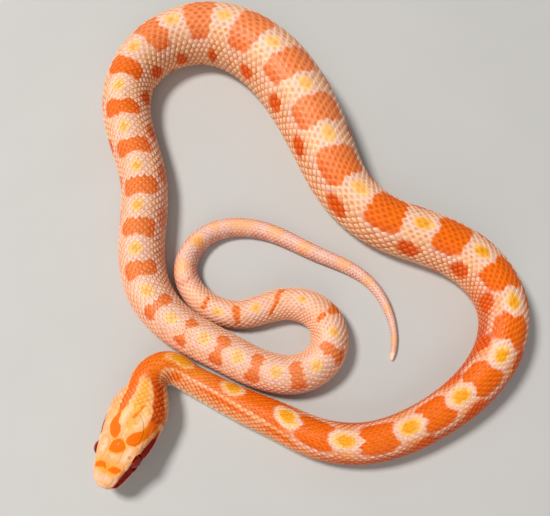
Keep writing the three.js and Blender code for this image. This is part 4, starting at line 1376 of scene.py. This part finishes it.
def front_shield_parts(outline, under_mouth):
    """Points, faces, colours and UVs of a shield on the snout's front, drawn as (side, up)."""
    rim = rounded(np.array(outline) * MM, SHIELD_RIM_POINTS)
    middle = rim.mean(0)
    side, up = np.moveaxis(middle + SHIELD_RINGS[:, None, None] * (rim - middle), -1, 0)
    flat = smooth_step(1.0, 0.8, SHIELD_RINGS)[:, None]
    depth = front_depth(side, up)
    forward = SHIELD_RISE * (0.4 + 0.6 * flat) - SHIELD_SINK
    tip, on, left, lift = axes_at(0.0)

    def placed(side, up, depth):
        flat_point = tip + on * depth[..., None] + left * side[..., None]
        return np.concatenate([flat_point, (up + lift)[..., None]], -1)

    points = placed(side, up, depth - forward)
    under = placed(side[-1], up[-1], depth[-1] - forward[-1] + SHIELD_THICKNESS)
    colours = np.broadcast_to(SNOUT_PINK[0], up.shape + (3,))
    colours = mix(colours, LIP_PINK[0], smooth_step(2.9 * MM, 2.4 * MM, up))
    colours = mix(colours, BELLY_PALE[0], smooth_step(1.5 * MM, 1.0 * MM, up))
    arc = body.half_arc_at(depth) - side if under_mouth else side
    return shield_shell(points, under, colours, unwrap(depth, arc))


def shield_parts(outline, hand):
    """Points, faces, colours and UVs of one shield over an outline of (along, arc) in metres."""
    rim = rounded(outline, SHIELD_RIM_POINTS)
    middle = rim.mean(0)
    size = np.linalg.norm(rim - middle, axis=1).mean()
    shares = LARGE_SHIELD_RINGS if size > LARGE_SHIELD else SHIELD_RINGS
    rings = middle + shares[:, None, None] * (rim - middle)
    at = rings[..., 0]
    arc = rings[..., 1] * hand
    flat = smooth_step(1.0, 1 - SHIELD_EDGE / size, shares)[:, None]
    rise = SHIELD_RISE * (0.3 + 0.7 * flat) + SHIELD_SWELL * size * (1 - shares[:, None] ** 2)
    height = rise - SHIELD_SINK + head_relief(at, arc)
    points, out = body.place(at, arc, height + np.zeros_like(at))
    under = points[-1] - out[-1] * SHIELD_THICKNESS
    colours = head_marking(at, arc, 0.5 * flat + np.zeros_like(at))
    parts = shield_shell(points, under, colours, unwrap(at, arc))
    turn = np.sum(rim[:, 0] * np.roll(rim[:, 1], -1) - rim[:, 1] * np.roll(rim[:, 0], -1)) * hand
    if turn < 0:
        return parts[0], parts[1][:, ::-1], parts[2], parts[3]
    return parts


def shield_shell(points, under, colours, uvs):
    """A closed plate from rings of top points, the innermost first, and its lower rim."""
    n = SHIELD_RIM_POINTS
    low = len(points) * n
    colours = colours.reshape(-1, 3)
    uvs = uvs.reshape(-1, 2)
    # The innermost ring is a single place, so only half of the first strip has an area.
    faces = [strip_faces(0, n, n)[:n]]
    faces += [strip_faces(first, first + n, n) for first in range(n, low, n)]
    faces.append(fan_faces(low, low + n, n)[:, ::-1])
    # The lower rim's colours are darkened as painted shade.
    return (np.concatenate([points.reshape(-1, 3), under, under.mean(0, keepdims=True)]),
            np.concatenate(faces),
            np.concatenate([colours, colours[-n:] * 0.9, colours[:1]]),
            np.concatenate([uvs, uvs[-n:], uvs[:1]]))


def lip_outlines(seams, near, far):
    """Outlines of a row of lip shields between two edges, given as heights."""
    outlines = []
    for start, stop in zip(seams, seams[1:]):
        start += SHIELD_SEAM
        stop -= SHIELD_SEAM
        middle = (start + stop) / 2
        outlines.append([(x, near(x)) for x in (start, middle, stop)]
                        + [(x, far(x)) for x in (stop, middle, start)])
    return outlines


def mouth_height(along):
    """Height of the mouth's line over the head's underside."""
    return body.half_sections(np.array([along * MM]))[0, 4, 1] / MM


def shield_outlines():
    """Every shield on one side as (along, arc) outlines in metres; the first crosses the middle."""
    def from_plan(outline):
        signs = [1 if side >= 0 else -1 for _, side in outline]
        return [(x * MM, sign * arc_at_side(x * MM, abs(side) * MM))
                for (x, side), sign in zip(outline, signs)]

    def from_side(outline):
        return [(x * MM, arc_at_height(x * MM, up * MM)) for x, up in outline]

    def from_chin(outline):
        points = []
        for x, side in outline:
            row = int(round(x * MM / body.RING_STEP))
            under = body.outlines[row][::-1]
            arcs = body.arcs[row][::-1]
            inner = under[:, 0] <= CHIN_REACH
            stop = np.argmin(inner) if not inner.all() else len(inner)
            points.append((x * MM, float(np.interp(side * MM, under[:stop, 0], arcs[:stop]))))
        return points

    upper = lip_outlines(UPPER_LIP_SEAMS, lambda x: mouth_height(x) + LIP_FROM_MOUTH,
                         lambda x: float(smooth_table(UPPER_LIP_TOP, x)) - LIP_EDGE)
    lower = lip_outlines(LOWER_LIP_SEAMS, lambda x: mouth_height(x) - LIP_FROM_MOUTH,
                         lambda x: float(smooth_table(LOWER_LIP_FOOT, x)) + LIP_EDGE)
    both = [from_plan(outline) for outline in CROWN_PAIRS.values()]
    both += [from_side(outline) for outline in SIDE_SHIELDS.values()]
    both += [from_side(outline) for outline in upper + lower]
    both += [from_chin(outline) for outline in CHIN_PAIRS.values()]
    return from_plan(FRONTAL), both


def build_head_shields():
    """All shields of the head in one mesh."""
    single, both = shield_outlines()
    parts = [shield_parts(single, 1), front_shield_parts(ROSTRAL, False), front_shield_parts(MENTAL, True)]
    parts += [shield_parts(outline, hand) for outline in both for hand in (1, -1)]
    points, faces, colours, uvs = zip(*parts)
    starts = np.cumsum([0] + [len(part) for part in points[:-1]])
    faces = [part + first for part, first in zip(faces, starts)]
    return make_mesh("head_shields", *map(np.concatenate, (points, faces, colours, uvs)))


EYE_RINGS = 40
EYE_SEGMENTS = 64
IRIS_COLOUR = linear((150, 26, 14))
IRIS_RIM_COLOUR = linear((164, 44, 24))
PUPIL_COLOUR = linear((104, 8, 8))
# Angles from the eye's outer pole, in degrees, between which one colour goes over to the next.
IRIS_STARTS = (23, 27)
IRIS_RIM_STARTS = (30, 50)
IRIS_ENDS = (54, 66)
IRIS_RAYS = 37


def poles_joined(rings):
    """Rings of values with the first and the last ring each made one value."""
    return np.concatenate([rings[0, :1], rings[1:-1].reshape(-1, rings.shape[-1]), rings[-1, :1]])


def eye_faces():
    """Triangles of a ball whose poles are single points."""
    n = EYE_SEGMENTS
    last = 1 + (EYE_RINGS - 2) * n
    faces = [strip_faces(first, first + n, n)[:, ::-1] for first in range(1, last - n, n)]
    return np.concatenate([fan_faces(1, 0, n)[:, ::-1], *faces, fan_faces(last - n, last, n)])


def build_eye(name, hand):
    """An eyeball with its pupil, iris and rim as point colours."""
    middle, ahead, left, lift = axes_at(EYE["along"] * MM)
    centre = np.append(middle + left * hand * EYE["side"] * MM, lift + EYE["up"] * MM)
    from_pole, around = np.meshgrid(
        np.linspace(0, math.pi, EYE_RINGS), np.arange(EYE_SEGMENTS) / EYE_SEGMENTS * 2 * math.pi,
        indexing="ij")
    on = np.sin(from_pole) * np.cos(around)
    up = np.sin(from_pole) * np.sin(around)
    size = MM * np.array([EYE["depth"], EYE["length"], EYE["height"]])
    axes = np.array([[*left * hand, 0], [*ahead, 0], [0, 0, 1]])
    points = centre + np.stack([np.cos(from_pole), on, up], -1) * size @ axes
    off = np.degrees(from_pole)
    colours = np.broadcast_to(PUPIL_COLOUR, off.shape + (3,))
    colours = mix(colours, IRIS_COLOUR, smooth_step(*IRIS_STARTS, off))
    rays = 0.5 + 0.5 * np.sin(around * IRIS_RAYS)
    colours = mix(colours, IRIS_RIM_COLOUR, smooth_step(*IRIS_RIM_STARTS, off) * (0.35 + 0.4 * rays))
    colours = mix(colours, PUPIL_COLOUR, 0.8 * smooth_step(*IRIS_ENDS, off))
    uvs = 0.5 + 0.45 * np.stack([np.cos(around), np.sin(around)], -1) * from_pole[..., None] / math.pi
    faces = eye_faces()
    if hand > 0:
        faces = faces[:, ::-1]
    return make_mesh(name, poles_joined(points), faces, poles_joined(colours), poles_joined(uvs))


# Materials: roughness, coat, fineness of the mottling, specular level and subsurface weight.
LOOKS = {
    "skin": (0.5, 0.0, 2600, 0.12, 0.05),
    "scales": (0.4, 0.02, 2600, 0.18, 0.03),
    "shields": (0.6, 0.0, 2600, 0.1, 0.0),
    "eye": (0.14, 0.1, 5200, 0.15, 0.0),
}
# The mottling's noise, what it does to the colour and the roughness, and the fine relief.
NOISE_MIDDLE = (0.3, 0.7)
MOTTLE_SHADES = (0.93, 1.06)
ROUGHNESS_SPREAD = (-0.06, 0.08)
RELIEF_FINER = 4
RELIEF_STRENGTH = 0.15
RELIEF_HEIGHT = 0.04 * MM
COAT_ROUGHNESS = 0.12
SUBSURFACE_RADIUS = (0.0012, 0.0006, 0.0003)


def add_node(material, kind, settings, links=()):
    """A shader node with constants on its own sockets, and the sockets that feed it."""
    node = material.node_tree.nodes.new("ShaderNode" + kind)
    for socket, value in dict(settings).items():
        node.inputs[socket].default_value = value
    for socket, source in dict(links).items():
        material.node_tree.links.new(source, node.inputs[socket])
    return node


def stretched(material, noise, low, high):
    """The middle of a noise's values stretched between two numbers."""
    node = add_node(material, "MapRange", {
        "From Min": NOISE_MIDDLE[0], "From Max": NOISE_MIDDLE[1], "To Min": low, "To Max": high,
    }, {"Value": noise})
    return node.outputs["Result"]


def marked_material(name, roughness, coat, fine, specular, subsurface):
    """A glossy skin whose colour is the marking on the points, with fine mottling and relief."""
    material = bpy.data.materials.new(name)
    material.use_nodes = True
    link = material.node_tree.links.new
    shader = material.node_tree.nodes["Principled BSDF"]
    marks = add_node(material, "VertexColor", {})
    marks.layer_name = "Marking"
    where = add_node(material, "TexCoord", {}).outputs["Object"]
    mottle = add_node(material, "TexNoise", {"Scale": fine, "Detail": 3}, {"Vector": where}).outputs["Fac"]
    shaded = add_node(material, "VectorMath", {})
    shaded.operation = "SCALE"
    link(marks.outputs["Color"], shaded.inputs[0])
    link(stretched(material, mottle, *MOTTLE_SHADES), shaded.inputs["Scale"])
    link(shaded.outputs["Vector"], shader.inputs["Base Color"])
    dull = [roughness + change for change in ROUGHNESS_SPREAD]
    link(stretched(material, mottle, *dull), shader.inputs["Roughness"])
    relief = add_node(material, "TexNoise", {"Scale": fine * RELIEF_FINER}, {"Vector": where})
    lift = add_node(material, "Bump", {"Strength": RELIEF_STRENGTH, "Distance": RELIEF_HEIGHT},
                    {"Height": relief.outputs["Fac"]})
    link(lift.outputs["Normal"], shader.inputs["Normal"])
    shader.inputs["Coat Weight"].default_value = coat
    shader.inputs["Coat Roughness"].default_value = COAT_ROUGHNESS
    shader.inputs["Specular IOR Level"].default_value = specular
    if subsurface:
        shader.inputs["Subsurface Weight"].default_value = subsurface
        shader.inputs["Subsurface Radius"].default_value = SUBSURFACE_RADIUS
        shader.inputs["Subsurface Scale"].default_value = 1.0
    return material


# The floor: half its side, how far it lies under the animal, and its look.
FLOOR_REACH = 1.5
FLOOR_DROP = 0.02 * MM
FLOOR_COLOURS = ((0.5, 0.495, 0.48, 1), (0.53, 0.525, 0.51, 1))
FLOOR_GRAIN = 60
FLOOR_ROUGHNESS = 0.7


def floor_material():
    """Plain, pale and very slightly uneven in colour."""
    material = bpy.data.materials.new("floor")
    material.use_nodes = True
    shader = material.node_tree.nodes["Principled BSDF"]
    where = add_node(material, "TexCoord", {}).outputs["Object"]
    noise = add_node(material, "TexNoise", {"Scale": FLOOR_GRAIN}, {"Vector": where})
    ramp = add_node(material, "ValToRGB", {}, {"Fac": noise.outputs["Fac"]})
    for stop, colour in zip(ramp.color_ramp.elements, FLOOR_COLOURS):
        stop.color = colour
    material.node_tree.links.new(ramp.outputs["Color"], shader.inputs["Base Color"])
    shader.inputs["Roughness"].default_value = FLOOR_ROUGHNESS
    return material


def build_floor():
    points = FLOOR_REACH * np.array([(-1, -1, 0), (1, -1, 0), (1, 1, 0), (-1, 1, 0)], float)
    points[:, 2] = -FLOOR_DROP
    floor = make_mesh("floor", points, np.array([(0, 1, 2), (0, 2, 3)]), None, None, smooth=False)
    floor.data.materials.append(floor_material())


# Lights: place, diameter, power and colour. Each aims at the origin.
LIGHTS = {
    "key": ((-0.5, 0.17, 0.84), 0.26, 9.6, (1.0, 0.97, 0.93)),
    "fill": ((0.0, -0.6, 0.35), 0.5, 1.3, (1.0, 0.97, 0.94)),
}
WORLD_COLOUR = (0.9, 0.92, 0.95, 1)
WORLD_STRENGTH = 0.27


def add_light(name, spot, size, power, colour):
    """A round soft light at a place, aimed at the origin."""
    data = bpy.data.lights.new(name, "AREA")
    data.shape = "DISK"
    data.size = size
    data.energy = power
    data.color = colour
    light = bpy.data.objects.new(name, data)
    bpy.context.scene.collection.objects.link(light)
    light.location = spot
    yaw = math.atan2(-spot[1], -spot[0])
    pitch = math.atan2(math.hypot(spot[0], spot[1]), spot[2])
    light.rotation_euler = (pitch, 0, yaw - math.pi / 2)


def build_light():
    bpy.context.scene.view_settings.view_transform = "Standard"
    for name, light in LIGHTS.items():
        add_light(name, *light)
    world = bpy.data.worlds.new("studio")
    world.use_nodes = True
    background = world.node_tree.nodes["Background"]
    background.inputs["Color"].default_value = WORLD_COLOUR
    background.inputs["Strength"].default_value = WORLD_STRENGTH
    bpy.context.scene.world = world


def build_camera():
    data = bpy.data.cameras.new("camera")
    data.sensor_width = SENSOR_WIDTH
    data.lens = FOCAL_PIXELS / PHOTO_WIDTH * SENSOR_WIDTH
    data.clip_start = NEAREST_SEEN
    camera = bpy.data.objects.new("camera", data)
    bpy.context.scene.collection.objects.link(camera)
    camera.location = (
        LOOK_AT[0],
        LOOK_AT[1] - CAMERA_DISTANCE * math.sin(CAMERA_TILT),
        LOOK_AT[2] + CAMERA_DISTANCE * math.cos(CAMERA_TILT),
    )
    camera.rotation_euler = (CAMERA_TILT, 0, 0)
    bpy.context.scene.camera = camera


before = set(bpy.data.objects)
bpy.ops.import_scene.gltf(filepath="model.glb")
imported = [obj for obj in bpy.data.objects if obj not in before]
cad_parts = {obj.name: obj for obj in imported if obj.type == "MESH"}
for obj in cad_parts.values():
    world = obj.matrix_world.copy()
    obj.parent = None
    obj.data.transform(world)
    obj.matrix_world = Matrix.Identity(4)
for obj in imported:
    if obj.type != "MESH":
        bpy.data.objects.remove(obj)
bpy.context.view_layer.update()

build_camera()
build_light()
build_floor()

materials = {name: marked_material(name, *look) for name, look in LOOKS.items()}

skin = build_skin()
skin.data.materials.append(materials["skin"])
flesh = [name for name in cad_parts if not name.startswith("eye")]
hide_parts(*flesh)
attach(skin, "root")
for piece in build_back_scales() + [build_belly_scales(), build_throat_scales()]:
    piece.data.materials.append(materials["scales"])
    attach(piece, "root")
shields = build_head_shields()
shields.data.materials.append(materials["shields"])
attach(shields, "root")
for name, hand in (("eye_left", 1), ("eye_right", -1)):
    eye = build_eye(name + "_ball", hand)
    eye.data.materials.append(materials["eye"])
    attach(eye, "root")
    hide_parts(name)
